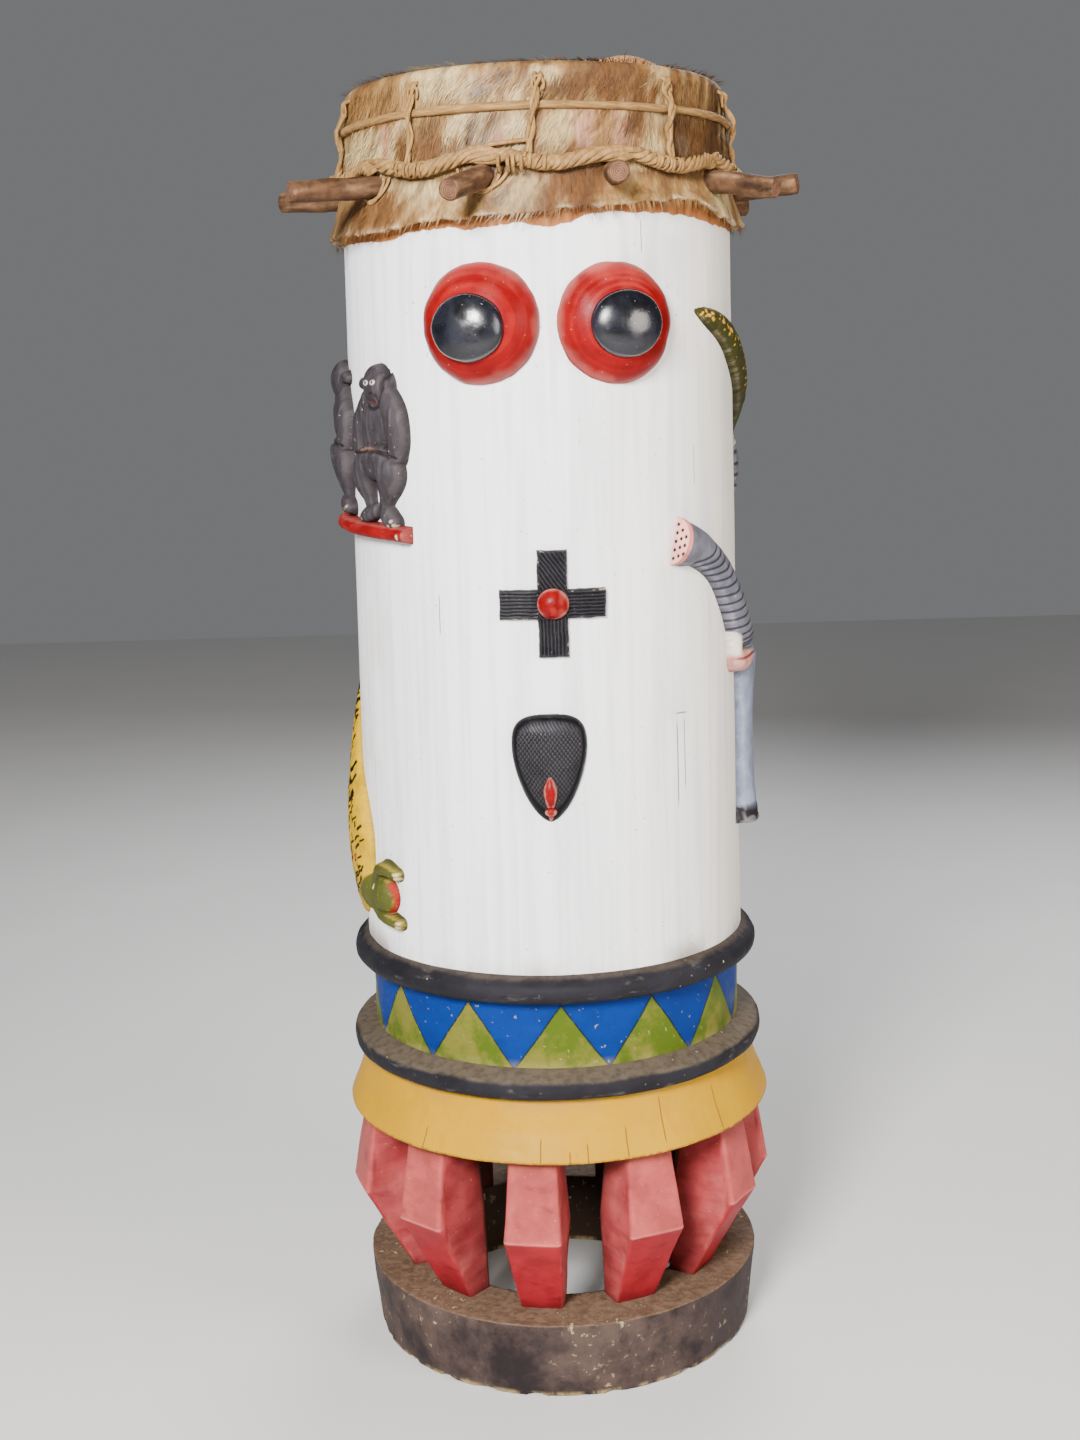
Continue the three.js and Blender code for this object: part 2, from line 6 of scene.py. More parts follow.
import bpy
import numpy as np
from bpy.props import FloatProperty, FloatVectorProperty, IntProperty, PointerProperty
from mathutils import Matrix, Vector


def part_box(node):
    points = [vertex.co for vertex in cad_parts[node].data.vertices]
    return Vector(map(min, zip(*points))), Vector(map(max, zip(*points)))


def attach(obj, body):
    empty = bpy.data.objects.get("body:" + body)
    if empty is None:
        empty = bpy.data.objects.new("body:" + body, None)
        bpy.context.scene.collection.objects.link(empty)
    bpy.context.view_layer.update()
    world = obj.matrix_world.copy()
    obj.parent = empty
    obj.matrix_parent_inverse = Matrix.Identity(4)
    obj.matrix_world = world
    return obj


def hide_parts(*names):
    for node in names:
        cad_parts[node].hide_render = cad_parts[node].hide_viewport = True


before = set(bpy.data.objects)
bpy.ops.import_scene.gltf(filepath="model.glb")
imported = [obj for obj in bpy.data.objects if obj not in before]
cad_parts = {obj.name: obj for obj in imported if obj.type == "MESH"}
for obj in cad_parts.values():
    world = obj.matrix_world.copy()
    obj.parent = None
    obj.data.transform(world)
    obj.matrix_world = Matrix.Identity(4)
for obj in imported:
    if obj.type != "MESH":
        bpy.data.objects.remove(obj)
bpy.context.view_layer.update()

bl_info = {
    "name": "Ceremonial drum",
    "version": (1, 0, 0),
    "blender": (4, 5, 0),
    "location": "View3D > Sidebar > Drum",
    "description": "Builds a carved and painted ceremonial drum with a laced hair-on hide",
    "category": "Add Mesh",
}

MM = 0.001
UP = np.array([0.0, 0.0, 1.0])

# Levels of the drum, taken down from the top of the log and the hide
LOG_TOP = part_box("drum_body")[1][2]
HIDE_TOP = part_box("drumhead_hide")[1][2]
PAINT_TOP = LOG_TOP - 0.155
PAINT_BOTTOM = PAINT_TOP - 0.836
BAND_TOP = PAINT_BOTTOM - 0.033
BAND_BOTTOM = BAND_TOP - 0.080
FLARE_TOP = BAND_BOTTOM - 0.031
LEG_TOP = FLARE_TOP - 0.072
LEG_HEIGHT = 0.2075
FOOT_TOP = LEG_TOP - LEG_HEIGHT

# Radii of the log
BODY_RADIUS = 0.230
SIDE_BOTTOM_RADIUS = 0.2335
SIDE_TOP_RADIUS = 0.227
RIM_RADIUS = 0.2135
INNER_RADIUS = 0.187
BAND_RADIUS = 0.2285
UPPER_RING_RADIUS = 0.2505
LOWER_RING_RADIUS = 0.2565
FLARE_TOP_RADIUS = 0.240
FLARE_BOTTOM_RADIUS = 0.2652
FOOT_TOP_RADIUS = 0.248
FOOT_BOTTOM_RADIUS = 0.2385
FOOT_INNER_RADIUS = 0.167

# Legs
LEG_COUNT = 11
LEG_FIRST_ANGLE = -8.1
LEG_KNEE_LEVEL = FOOT_TOP + 0.1095
LEG_RADII = {"top": 0.247, "knee": 0.264, "bottom": 0.204}
LEG_WIDTHS = {"top": 0.057, "knee": 0.069, "bottom": 0.052}

# Painted triangles round the band
TEETH = 13
TOOTH_ANGLE = 0.8
TOOTH_BOTTOM = BAND_BOTTOM - 0.002
TOOTH_TOP = BAND_TOP - 0.005

# Hide and lashing
HIDE_THICKNESS = 0.006
HIDE_EDGE = 0.012
HEM_LEVEL = HIDE_TOP - 0.154
HEM_RADIUS = 0.2413
HOOP_LEVEL = HIDE_TOP - 0.047
HOOP_RADIUS = 0.0046
HOOP_PRESSED = 0.0028
ROPE_LEVEL = HIDE_TOP - 0.1065
ROPE_RADIUS = 0.0085
PEG_COUNT = 10
PEG_SPACING = 360 / PEG_COUNT
PEG_FIRST_ANGLE = 22
PEG_LEVEL = HIDE_TOP - 0.116
PEG_RADIUS = 0.013
PEG_TIP_RADIUS = 0.0115
PEG_DEPTH = 0.030
PEG_REACH = 0.092
# Each peg's reach as a share of the usual one, and its lean sideways and down in degrees
PEG_POSES = [
    (0.61, -20, 5), (1.0, -6, 10), (0.98, -25, -3), (1.14, -20, 0), (0.87, 4, 4),
    (0.92, -3, 7), (0.7, -15, 3), (0.97, -32, -2), (1.16, -12, 5), (0.93, -12, 15),
]
TIE_OFFSET = 15
# How far each tie's top is moved round, and how far its foot leans from there, in degrees
TIE_POSES = [(2.5, -0.5), (0, 12), (0, 4), (0, -3), (0, 5), (0, -4), (0, 2), (0, -4), (0, -1), (0, -3)]
TIE_TOP = HIDE_TOP - 0.020

# Carvings: how deep their hidden edge sits in the wall
SINK = 0.004

# Heights at which the hide's hem and the white paint end, by angle round the front
HEM_POINTS = [
    (-180, 1359), (-120, 1352), (-66, 1349), (-43, 1346), (-37, 1350), (-28, 1354), (-14, 1355), (2, 1355),
    (7, 1360), (21, 1363), (31, 1370), (34, 1367), (39, 1374), (48, 1370), (60, 1358), (71, 1353),
    (120, 1362), (180, 1359),
]
PAINT_POINTS = [
    (-180, 1350), (-110, 1342), (-71, 1344), (-45, 1339), (-38, 1346), (-26, 1347), (-18, 1344), (-4, 1349),
    (2, 1343), (9, 1348), (13, 1356), (22, 1360), (28, 1358), (44, 1358), (60, 1351), (84, 1349),
    (130, 1353), (180, 1350),
]


# The usual display of a render lifts dark colours, so they are made deeper by this power
DEEPENING = 1.5


def screen(red, green, blue):
    """A colour given as it shall look in 0-255 screen values, as the linear numbers for a shader."""
    shares = [value / 255 for value in (red, green, blue)]
    linear = [((share + 0.055) / 1.055) ** 2.4 if share > 0.04 else share / 12.92 for share in shares]
    return tuple(value ** DEEPENING for value in linear)


# Fixed colours of wood, dust, grime, painted shade, marks and animals
BARE_WOOD = screen(190, 144, 102)
INNER_WOOD = screen(96, 78, 64)
# Grime on the band, and painted shade in the hollows of the carvings
GRIME_AND_SHADE = screen(70, 62, 56)
INK = screen(28, 26, 30)
PALE_CHIP = screen(214, 202, 186)
SIGN_BLACK = screen(38, 37, 42)
APE_GREY = screen(88, 84, 88)
LIZARD_YELLOW = (0.48, 0.29, 0.0)
LIZARD_OLIVE = screen(112, 114, 66)
SNAKE_GREEN = screen(88, 86, 48)
TRUNK_GREY = screen(134, 134, 142)
LEG_BLUE_GREY = screen(150, 156, 172)
SNOUT_PINK = screen(236, 190, 182)
TUSK_WHITE = screen(226, 220, 208)


# Repeatable noise

PRIMES = (374761393, 668265263, 1442695041)
SEED_PRIME = 974634777
MIX_PRIME = 1274126177
WORD = 0xFFFFFFFF
HALF_WORD = 0xFFFF


def scatter(cells, seed):
    """Repeatable values from 0 to 1 for whole-number cells."""
    mixed = (cells * np.array(PRIMES)).sum(axis=-1) + seed * SEED_PRIME
    mixed = (mixed ^ (mixed >> 13)) & WORD
    mixed = (mixed * MIX_PRIME) & WORD
    return ((mixed ^ (mixed >> 16)) & HALF_WORD) / HALF_WORD


def noise(points, size, seed=0, layers=3):
    """Smooth noise from about -1 to 1, its largest lumps about size metres wide."""
    total = np.zeros(points.shape[:-1])
    for layer in range(layers):
        scaled = points / (np.asarray(size) / 2 ** layer)
        cell = np.floor(scaled).astype(np.int64)
        share = scaled - cell
        share = share * share * (3 - 2 * share)
        for corner in np.ndindex(2, 2, 2):
            near = np.where(np.array(corner) == 1, share, 1 - share).prod(axis=-1)
            total += 0.5 ** layer * near * (2 * scatter(cell + np.array(corner), seed + layer) - 1)
    return total


def ramp(value, low, high):
    """0 below low, 1 above high, smooth between."""
    share = np.clip((value - low) / (high - low), 0, 1)
    return share * share * (3 - 2 * share)


def blend_colours(first, second, share):
    return first + (np.asarray(second) - first) * np.asarray(share)[..., None]


def layered(colour, *layers):
    """A colour with tints laid over it in turn, each with its share."""
    for tint, share in layers:
        colour = blend_colours(colour, tint, share)
    return colour


# Shapes

def around(turn, radius, level):
    """Points on the drum at an angle in radians, a radius and a height."""
    turn, radius, level = np.broadcast_arrays(turn, radius, level)
    return np.stack([radius * np.sin(turn), -radius * np.cos(turn), level], axis=-1)


def once_round(count):
    """Even angles in radians from 0 once round, without the last, which is the first again."""
    return np.linspace(0, 2 * math.pi, count, endpoint=False)


def unit(vectors):
    return vectors / np.maximum(np.linalg.norm(vectors, axis=-1, keepdims=True), 1e-9)


def spline(stations, count):
    """A smooth line through stations, with any number of values each."""
    stations = np.asarray(stations, float)
    padded = np.vstack([2 * stations[0] - stations[1], stations, 2 * stations[-1] - stations[-2]])
    place = np.linspace(0, len(stations) - 1, count)
    start = np.minimum(place.astype(int), len(stations) - 2)
    t = (place - start)[:, None]
    a, b, c, d = (padded[start + offset] for offset in range(4))
    return 0.5 * (
        2 * b + (c - a) * t + (2 * a - 5 * b + 4 * c - d) * t ** 2 + (3 * b - a - 3 * c + d) * t ** 3
    )


def rounded(points, radius, steps=5):
    """An open outline with its corners rounded off."""
    points = [np.array(point, float) for point in points]
    result = [points[0]]
    for before, corner, after in zip(points, points[1:], points[2:]):
        back = before - corner
        ahead = after - corner
        cut = min(radius, 0.45 * np.linalg.norm(back), 0.45 * np.linalg.norm(ahead))
        start = corner + unit(back) * cut
        end = corner + unit(ahead) * cut
        for t in np.linspace(0, 1, steps):
            result.append((1 - t) ** 2 * start + 2 * t * (1 - t) * corner + t ** 2 * end)
    result.append(points[-1])
    return np.array(result)


def stepped(points, step):
    """The same outline with no stretch longer than step."""
    result = [points[0]]
    for start, end in zip(points, points[1:]):
        count = max(1, math.ceil(np.linalg.norm(end - start) / step))
        result.extend(start + (end - start) * t for t in np.linspace(0, 1, count + 1)[1:])
    return np.array(result)


def grid_faces(rows, columns, ring=True, closed=False):
    """Quads of a grid of points, joined round its columns and, if closed, its rows."""
    index = np.arange(rows * columns).reshape(rows, columns)
    if ring:
        index = np.hstack([index, index[:, :1]])
    if closed:
        index = np.vstack([index, index[:1]])
    corners = [index[:-1, :-1], index[:-1, 1:], index[1:, 1:], index[1:, :-1]]
    return np.stack(corners, axis=-1).reshape(-1, 4)


def fan(last, sides):
    """Triangles from a grid's last row to the point with the number last, which follows the grid."""
    ring = last - sides + np.arange(sides)
    return np.stack([ring, np.roll(ring, -1), np.full(sides, last)], axis=-1)


class Shape:
    """The points, faces and colours of one piece, gathered from its stretches."""

    def __init__(self):
        self.points = []
        self.colours = []
        self.faces = []
        self.count = 0

    def add(self, points, *groups, colour=(1, 1, 1)):
        points = np.asarray(points, float).reshape(-1, 3)
        colour = np.asarray(colour, float)
        self.points.append(points)
        self.colours.append(np.broadcast_to(colour.reshape(-1, 3), points.shape))
        for faces in groups:
            self.faces.extend((np.asarray(faces) + self.count).tolist())
        self.count += len(points)

    def piece(self, name, material, slot, *nodes, sharp=None, fields=None):
        """The finished object, standing for the CAD nodes named."""
        mesh = bpy.data.meshes.new(name)
        mesh.from_pydata(np.concatenate(self.points).tolist(), [], self.faces)
        mesh.shade_smooth()
        if sharp is not None:
            mesh.set_sharp_from_angle(angle=math.radians(sharp))
        colours = np.concatenate(self.colours)
        paint = mesh.color_attributes.new(name="paint", type="FLOAT_COLOR", domain="POINT")
        paint.data.foreach_set("color", np.hstack([colours, np.ones((len(colours), 1))]).ravel())
        for field, values in (fields or {}).items():
            layer = mesh.attributes.new(name=field, type="FLOAT", domain="POINT")
            layer.data.foreach_set("value", np.asarray(values, float).ravel())
        mesh.materials.append(material)
        mesh.update()
        result = bpy.data.objects.new(name, mesh)
        bpy.context.scene.collection.objects.link(result)
        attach(result, "root")
        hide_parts(*nodes)

    def log_piece(self, name, material, **options):
        """The finished object, standing for the log."""
        self.piece(name, material, "painted_log", "drum_body", **options)


def turned(profile, columns, bend=None, closed=False):
    """Points and faces of an outline of (radius, height) turned about the drum's axis."""
    profile = np.asarray(profile, float)
    turn = np.linspace(-math.pi, math.pi, columns, endpoint=False)
    radius, level, turn = np.broadcast_arrays(profile[:, :1], profile[:, 1:], turn[None, :])
    if bend is not None:
        radius, level = bend(radius, level, turn)
    points = around(turn, radius, level)
    return points, grid_faces(len(profile), columns, closed=closed)


def swept(shape, path, outward, wide, thick, sides=6, colour=(1, 1, 1), closed=False, roll=0.0):
    """Adds a bar of oval section along a path, its thick side facing outward."""
    path = np.asarray(path, float)
    if closed:
        along = unit(np.roll(path, -1, axis=0) - np.roll(path, 1, axis=0))
    else:
        along = unit(np.gradient(path, axis=0))
    across = unit(np.cross(along, outward))
    lift = np.cross(across, along)
    turn = once_round(sides)[None, :, None]
    tilt = np.broadcast_to(np.asarray(roll, float), (len(path),))[:, None, None]
    wide = np.broadcast_to(wide, (len(path),))[:, None, None]
    thick = np.broadcast_to(thick, (len(path),))[:, None, None]
    flat = wide * np.cos(turn)
    high = thick * np.sin(turn)
    side = flat * np.cos(tilt) - high * np.sin(tilt)
    rise = flat * np.sin(tilt) + high * np.cos(tilt)
    points = path[:, None] + across[:, None] * side + lift[:, None] * rise
    faces = grid_faces(len(path), sides, closed=closed)[:, ::-1]
    if closed:
        shape.add(points, faces, colour=colour)
        return
    last = len(path) * sides
    ring = np.arange(sides)
    after = (ring + 1) % sides
    start_cap = np.stack([np.full(sides, last), ring, after], axis=-1)
    end_cap = np.stack([np.full(sides, last + 1), last - sides + after, last - sides + ring], axis=-1)
    tips = np.stack([path[0] - along[0] * 0.3 * wide[0, 0], path[-1] + along[-1] * 0.3 * wide[-1, 0]])
    shape.add(np.vstack([points.reshape(-1, 3), tips]), faces, start_cap, end_cap, colour=colour)


class Carving:
    """A relief in flat coordinates: x along the girth, y up, and its height off the painted side.
    Each coordinate is so many units, and one unit is scale metres."""

    def __init__(self, scale, left, right, bottom, top, step):
        self.scale = scale
        self.step = step
        self.x, self.y = np.meshgrid(np.arange(left, right, step), np.arange(bottom, top, step))
        self.height = np.full(self.x.shape, -2 * SINK / scale)
        self.colour = np.ones(self.x.shape + (3,))
        self.flat = np.stack([self.x, self.y, np.zeros_like(self.x)], axis=-1) * scale

    def tint(self, colour, share):
        self.colour = blend_colours(self.colour, colour, share)

    def join(self, rise, colour, blend):
        share = np.clip(0.5 + (rise - self.height) / (2 * blend), 0, 1)
        self.height = self.height * (1 - share) + rise * share + blend * share * (1 - share)
        if colour is not None:
            self.tint(colour, share)

    def local(self, centre, tilt):
        """Coordinates about a centre, turned by tilt degrees."""
        turn = math.radians(tilt)
        x = self.x - centre[0]
        y = self.y - centre[1]
        return x * math.cos(turn) + y * math.sin(turn), y * math.cos(turn) - x * math.sin(turn)

    def lump(self, centre, halves, tilt=0, colour=None, blend=0.8):
        """An ellipsoid: centre is x, y and height, halves its half sizes."""
        x, y = self.local(centre, tilt)
        bulk = 1 - (x / halves[0]) ** 2 - (y / halves[1]) ** 2
        rise = centre[2] + halves[2] * np.sign(bulk) * np.sqrt(np.abs(bulk))
        self.join(rise, colour, blend)

    def ridge(self, stations, depth=1.0, colour=None, blend=0.8):
        """A limb along x, y, height and half width stations."""
        rise = np.full(self.x.shape, -np.inf)
        for x, y, middle, half in spline(stations, 14 * len(stations)):
            bulk = half ** 2 - (self.x - x) ** 2 - (self.y - y) ** 2
            rise = np.maximum(rise, middle + depth * np.sign(bulk) * np.sqrt(np.abs(bulk)))
        self.join(rise, colour, blend)

    def distance(self, stations, count=40):
        """How far each point is from a smooth line."""
        line = spline(stations, count)
        nearest = np.full(self.x.shape, np.inf)
        for start, end in zip(line, line[1:]):
            run = end - start
            share = ((self.x - start[0]) * run[0] + (self.y - start[1]) * run[1]) / max(run @ run, 1e-9)
            share = np.clip(share, 0, 1)
            gap = np.hypot(self.x - start[0] - share * run[0], self.y - start[1] - share * run[1])
            nearest = np.minimum(nearest, gap)
        return nearest

    def groove(self, stations, half, depth, colour=None, strength=0.8):
        """Cuts a soft groove along a line, and tints it."""
        share = 1 - ramp(self.distance(stations), 0, half)
        self.height = self.height - depth * share
        if colour is not None:
            self.tint(colour, share * strength)

    def stroke(self, stations, half, colour, strength=1.0):
        """Paints a line."""
        share = 1 - ramp(self.distance(stations), 0.6 * half, 1.2 * half)
        self.tint(colour, share * strength)

    def spot(self, centre, halves, colour, tilt=0, raised=0.0):
        """Paints an oval, raised or sunk by a little."""
        x, y = self.local(centre, tilt)
        share = 1 - ramp(np.hypot(x / halves[0], y / halves[1]), 0.8, 1.15)
        self.tint(colour, share)
        self.height = self.height + raised * share

    def piece(self, name, angle, level, material, seed, chisel=0.5 * MM, worn=PALE_CHIP, chipping=0.25):
        """Wears the ridges, paints shade into the hollows and wraps the relief round the side."""
        height = self.height * self.scale
        height = height + chisel * noise(self.flat, (7 * MM, 16 * MM, 1), seed, 2) * ramp(height, 0, 3 * MM)
        reach = max(1, round(2.5 * MM / (self.step * self.scale)))
        above = np.maximum(height, 0)
        shifts = (-reach, 0, reach)
        smooth = sum(np.roll(above, (down, along), (0, 1)) for down in shifts for along in shifts) / 9
        crest = (above - smooth) / MM
        flecks = noise(self.flat, 5 * MM, seed + 5, 2)
        wear = ramp(crest + 0.5 * flecks, 0.9, 1.8) * 0.25
        # Painted shade: the hollows, found from the carving's curvature, are darkened.
        hollow = ramp(-crest, 0.15, 1.2) * 0.45
        edge = (1 - ramp(height, 0, 2.2 * MM)) * ramp(flecks, -0.1, 0.4) * chipping
        colour = layered(
            self.colour,
            (worn, wear),
            (GRIME_AND_SHADE, hollow),
            (worn, edge),
        )
        height = np.maximum(height, -SINK)
        lifted = height > -SINK
        kept = lifted[:-1, :-1] | lifted[:-1, 1:] | lifted[1:, 1:] | lifted[1:, :-1]
        faces = grid_faces(*self.x.shape, ring=False)[kept.ravel()]
        used, faces = np.unique(faces, return_inverse=True)
        turn = math.radians(angle) + self.flat[..., 0] / BODY_RADIUS
        points = around(turn, side_radius(level + self.flat[..., 1]) + height, level + self.flat[..., 1])
        shape = Shape()
        shape.add(points.reshape(-1, 3)[used], faces.reshape(-1, 4), colour=colour.reshape(-1, 3)[used])
        shape.log_piece(name, material)


def side_radius(level):
    """Radius of the log's side, which leans in upwards, and more under the hide."""
    levels = [PAINT_BOTTOM, PAINT_TOP, LOG_TOP]
    return np.interp(level, levels, [SIDE_BOTTOM_RADIUS, SIDE_TOP_RADIUS, RIM_RADIUS])


def hide_outer(level):
    return side_radius(level) + HIDE_THICKNESS


def painted_level(share):
    """A height as a share of the painted side."""
    return PAINT_BOTTOM + share * (PAINT_TOP - PAINT_BOTTOM)


# Materials

class Surface:
    """One material, its nodes added step by step."""

    def __init__(self, name):
        self.material = bpy.data.materials.new(name)
        self.material.use_nodes = True
        self.nodes = self.material.node_tree.nodes
        self.links = self.material.node_tree.links
        self.shader = self.nodes["Principled BSDF"]
        self.place = self.add("ShaderNodeTexCoord").outputs["Object"]
        self.split = self.add("ShaderNodeSeparateXYZ", self.place).outputs

    def feed(self, socket, value):
        if isinstance(value, bpy.types.NodeSocket):
            self.links.new(value, socket)
        elif socket.type == "RGBA" and len(value) == 3:
            socket.default_value = (*value, 1)
        else:
            socket.default_value = value

    def add(self, kind, *inputs, **settings):
        node = self.nodes.new(kind)
        for name, value in settings.items():
            setattr(node, name, value)
        for socket, value in zip(node.inputs, inputs):
            self.feed(socket, value)
        return node

    def math(self, operation, first, second=0.5):
        return self.add("ShaderNodeMath", first, second, operation=operation).outputs[0]

    def plus(self, first, second):
        return self.math("ADD", first, second)

    def minus(self, first, second):
        return self.math("SUBTRACT", first, second)

    def centred(self, value, reach):
        """A noise moved to lie about 0, times reach."""
        return self.times(self.minus(value, 0.5), reach)

    def angle(self):
        """Angle round from the front, in radians."""
        return self.math("ARCTAN2", self.split["X"], self.times(self.split["Y"], -1))

    def level(self):
        return self.split["Z"]

    def stretched(self, stretch):
        return self.add("ShaderNodeVectorMath", self.place, stretch, operation="MULTIPLY").outputs[0]

    def noise(self, scale, stretch=(1, 1, 1), detail=4.0, roughness=0.55):
        node = self.add("ShaderNodeTexNoise")
        self.feed(node.inputs["Vector"], self.stretched(stretch))
        self.feed(node.inputs["Scale"], scale)
        self.feed(node.inputs["Detail"], detail)
        self.feed(node.inputs["Roughness"], roughness)
        return node.outputs[0]

    def span(self, value, low, high, start=0.0, end=1.0):
        """start below low, end above high, smooth between."""
        node = self.add("ShaderNodeMapRange", value, low, high, start, end, interpolation_type="SMOOTHSTEP")
        return node.outputs[0]

    def mix(self, share, first, second, blend="MIX"):
        node = self.add("ShaderNodeMix", data_type="RGBA", blend_type=blend)
        for index, value in ((0, share), (6, first), (7, second)):
            self.feed(node.inputs[index], value)
        return node.outputs[2]

    def field(self, name):
        return self.add("ShaderNodeAttribute", attribute_name=name).outputs["Fac"]

    def paint(self):
        return self.add("ShaderNodeAttribute", attribute_name="paint").outputs["Color"]

    def shaded_paint(self, value, low, high, dark, light):
        """The piece's own colours, times dark where value is low and times light where it is high."""
        shade = self.mix(self.span(value, low, high), dark, light)
        return self.mix(1.0, self.paint(), shade, blend="MULTIPLY")

    def times(self, *shares):
        result = shares[0]
        for share in shares[1:]:
            result = self.math("MULTIPLY", result, share)
        return result

    def line(self, angle, low, high, half, wander=0.002):
        """1 on a thin upright line on the drum, 0 elsewhere."""
        sway = self.centred(self.noise(1, (3, 3, 22), 2.0), 2 * wander)
        arc = self.times(self.minus(self.angle(), math.radians(angle)), BODY_RADIUS)
        gap = self.math("ABSOLUTE", self.plus(arc, sway))
        inside = self.span(gap, 0.3 * half, half, 1.0, 0.0)
        fade = 0.15 * (high - low)
        rising = self.span(self.level(), low, low + fade)
        falling = self.span(self.level(), high - fade, high, 1.0, 0.0)
        return self.times(inside, rising, falling)

    def cracks(self, marks):
        """1 on any of several upright lines, 0 elsewhere."""
        result = 0.0
        for mark in marks:
            result = self.math("MAXIMUM", result, self.line(*mark))
        return result

    def cross_line(self, level, start, end, half):
        """1 on a thin level line on the drum between two angles, 0 elsewhere."""
        sway = self.centred(self.noise(1, (40, 40, 3), 2.0), 0.004)
        gap = self.math("ABSOLUTE", self.minus(self.plus(self.level(), sway), level))
        inside = self.span(gap, 0.3 * half, half, 1.0, 0.0)
        after = self.span(self.angle(), math.radians(start), math.radians(start + 0.8))
        before = self.span(self.angle(), math.radians(end - 2.0), math.radians(end), 1.0, 0.0)
        return self.times(inside, after, before)

    def finish(self, colour, roughness, height=None, depth=0.5 * MM, specular=0.12):
        self.feed(self.shader.inputs["Base Color"], colour)
        self.feed(self.shader.inputs["Roughness"], roughness)
        self.shader.inputs["Specular IOR Level"].default_value = specular
        if height is not None:
            bump = self.add("ShaderNodeBump")
            bump.inputs["Strength"].default_value = 1.0
            self.feed(bump.inputs["Distance"], depth)
            self.feed(bump.inputs["Height"], height)
            self.feed(self.shader.inputs["Normal"], bump.outputs[0])
        return self.material


def shades(colour, factor):
    return tuple(channel * factor for channel in colour[:3])


# Cracks in the white paint: angle, lower and upper end, and half width
WHITE_CRACKS = [
    (38.8, 0.695, 0.805, 0.0013), (41.6, 0.715, 0.808, 0.0009), (47.7, 1.062, 1.112, 0.0008),
    (29.5, 1.315, 1.352, 0.0008), (-31.5, 0.905, 0.955, 0.0009), (-64.0, 0.60, 0.76, 0.0006),
    (146.0, 0.58, 1.02, 0.0014), (-152.0, 0.86, 1.30, 0.0012),
]
# The one level crack: height, start and end angle, and half width
WHITE_LEVEL_CRACK = (0.8075, 38.0, 43.5, 0.0012)


def white_finish(paint):
    """Brushed white paint over the log, with painted warm light towards its right side, bare wood above its
    upper edge.
    """
    s = Surface("white_paint")
    strokes = s.noise(1, (85, 85, 3.2), 5.0)
    sweeps = s.noise(1, (16, 16, 1.6), 3.0)
    stains = s.noise(7, (1, 1, 0.6), 5.0, 0.6)
    flecks = s.noise(190, detail=2.0)
    # Painted light: the white is tinted warmer and a little darker towards the right side.
    painted_warm_light = s.span(s.angle(), math.radians(5), math.radians(75))
    white = s.mix(s.times(painted_warm_light, 0.5), paint.white, screen(228, 216, 200))
    colour = s.mix(s.span(strokes, 0.42, 0.66, 0.0, 0.42), white, shades(paint.white, 0.66))
    colour = s.mix(s.span(sweeps, 0.48, 0.72, 0.0, 0.3), colour, shades(paint.white, 0.62))
    colour = s.mix(s.span(stains, 0.55, 0.75, 0.0, 0.35), colour, screen(206, 200, 192))
    low_grime = s.span(s.level(), PAINT_BOTTOM, PAINT_BOTTOM + 0.03, 0.7, 0.0)
    colour = s.mix(s.times(low_grime, s.span(stains, 0.4, 0.62)), colour, screen(150, 142, 132))
    colour = s.mix(s.span(flecks, 0.70, 0.76, 0.0, 0.5), colour, screen(150, 140, 128))
    crack = s.math("MAXIMUM", s.cracks(WHITE_CRACKS), s.cross_line(*WHITE_LEVEL_CRACK))
    colour = s.mix(s.times(crack, 0.75), colour, screen(110, 100, 92))
    ragged = s.centred(s.noise(70, (1, 1, 0.6)), 0.008)
    bare = s.span(s.plus(s.field("above_paint"), ragged), -0.0006, 0.0006)
    grain = s.noise(1, (120, 120, 6), 4.0)
    wood = s.mix(s.span(grain, 0.35, 0.7), BARE_WOOD, screen(164, 116, 78))
    colour = s.mix(bare, colour, wood)
    rough = s.span(stains, 0.3, 0.7, 0.42, 0.62)
    relief = s.minus(s.plus(strokes, s.times(sweeps, 0.8)), crack)
    relief = s.minus(relief, s.times(bare, 0.9))
    return s.finish(colour, rough, relief, 0.45 * MM)


def band_finish(paint):
    """Blue and green teeth with thin dark outlines."""
    s = Surface("triangle_band")
    spacing = 2 * math.pi / TEETH
    wander = s.centred(s.noise(16), 0.05)
    turn = s.times(s.minus(s.angle(), math.radians(TOOTH_ANGLE)), 1 / spacing)
    wave = s.math("PINGPONG", s.plus(turn, wander), 0.5)
    rise = s.times(s.minus(s.level(), TOOTH_BOTTOM), 1 / (TOOTH_TOP - TOOTH_BOTTOM))
    inside = s.minus(s.minus(1.0, rise), s.times(wave, 2.0))
    mottling = s.noise(24, detail=5.0, roughness=0.62)
    fine = s.noise(150, detail=3.0)
    green = s.mix(s.span(mottling, 0.4, 0.62), paint.green, screen(142, 140, 78))
    blue = s.mix(s.span(mottling, 0.35, 0.65), paint.blue, shades(paint.blue, 1.25))
    colour = s.mix(s.span(inside, -0.008, 0.008), blue, green)
    outline = s.span(s.math("ABSOLUTE", inside), 0.012, 0.034, 0.75, 0.0)
    colour = s.mix(s.times(outline, s.span(fine, 0.3, 0.5, 0.45, 1.0)), colour, INK)
    dust_and_highlight = s.span(s.level(), BAND_BOTTOM + 0.001, BAND_BOTTOM + 0.012, 0.2, 0.0)
    colour = s.mix(s.times(dust_and_highlight, s.span(mottling, 0.35, 0.6)), colour, screen(190, 184, 140))
    colour = s.mix(s.span(fine, 0.66, 0.74, 0.0, 0.55), colour, screen(186, 184, 150))
    colour = s.mix(s.span(mottling, 0.62, 0.8, 0.0, 0.5), colour, GRIME_AND_SHADE)
    return s.finish(colour, s.span(mottling, 0.3, 0.7, 0.45, 0.65), fine, 0.25 * MM)


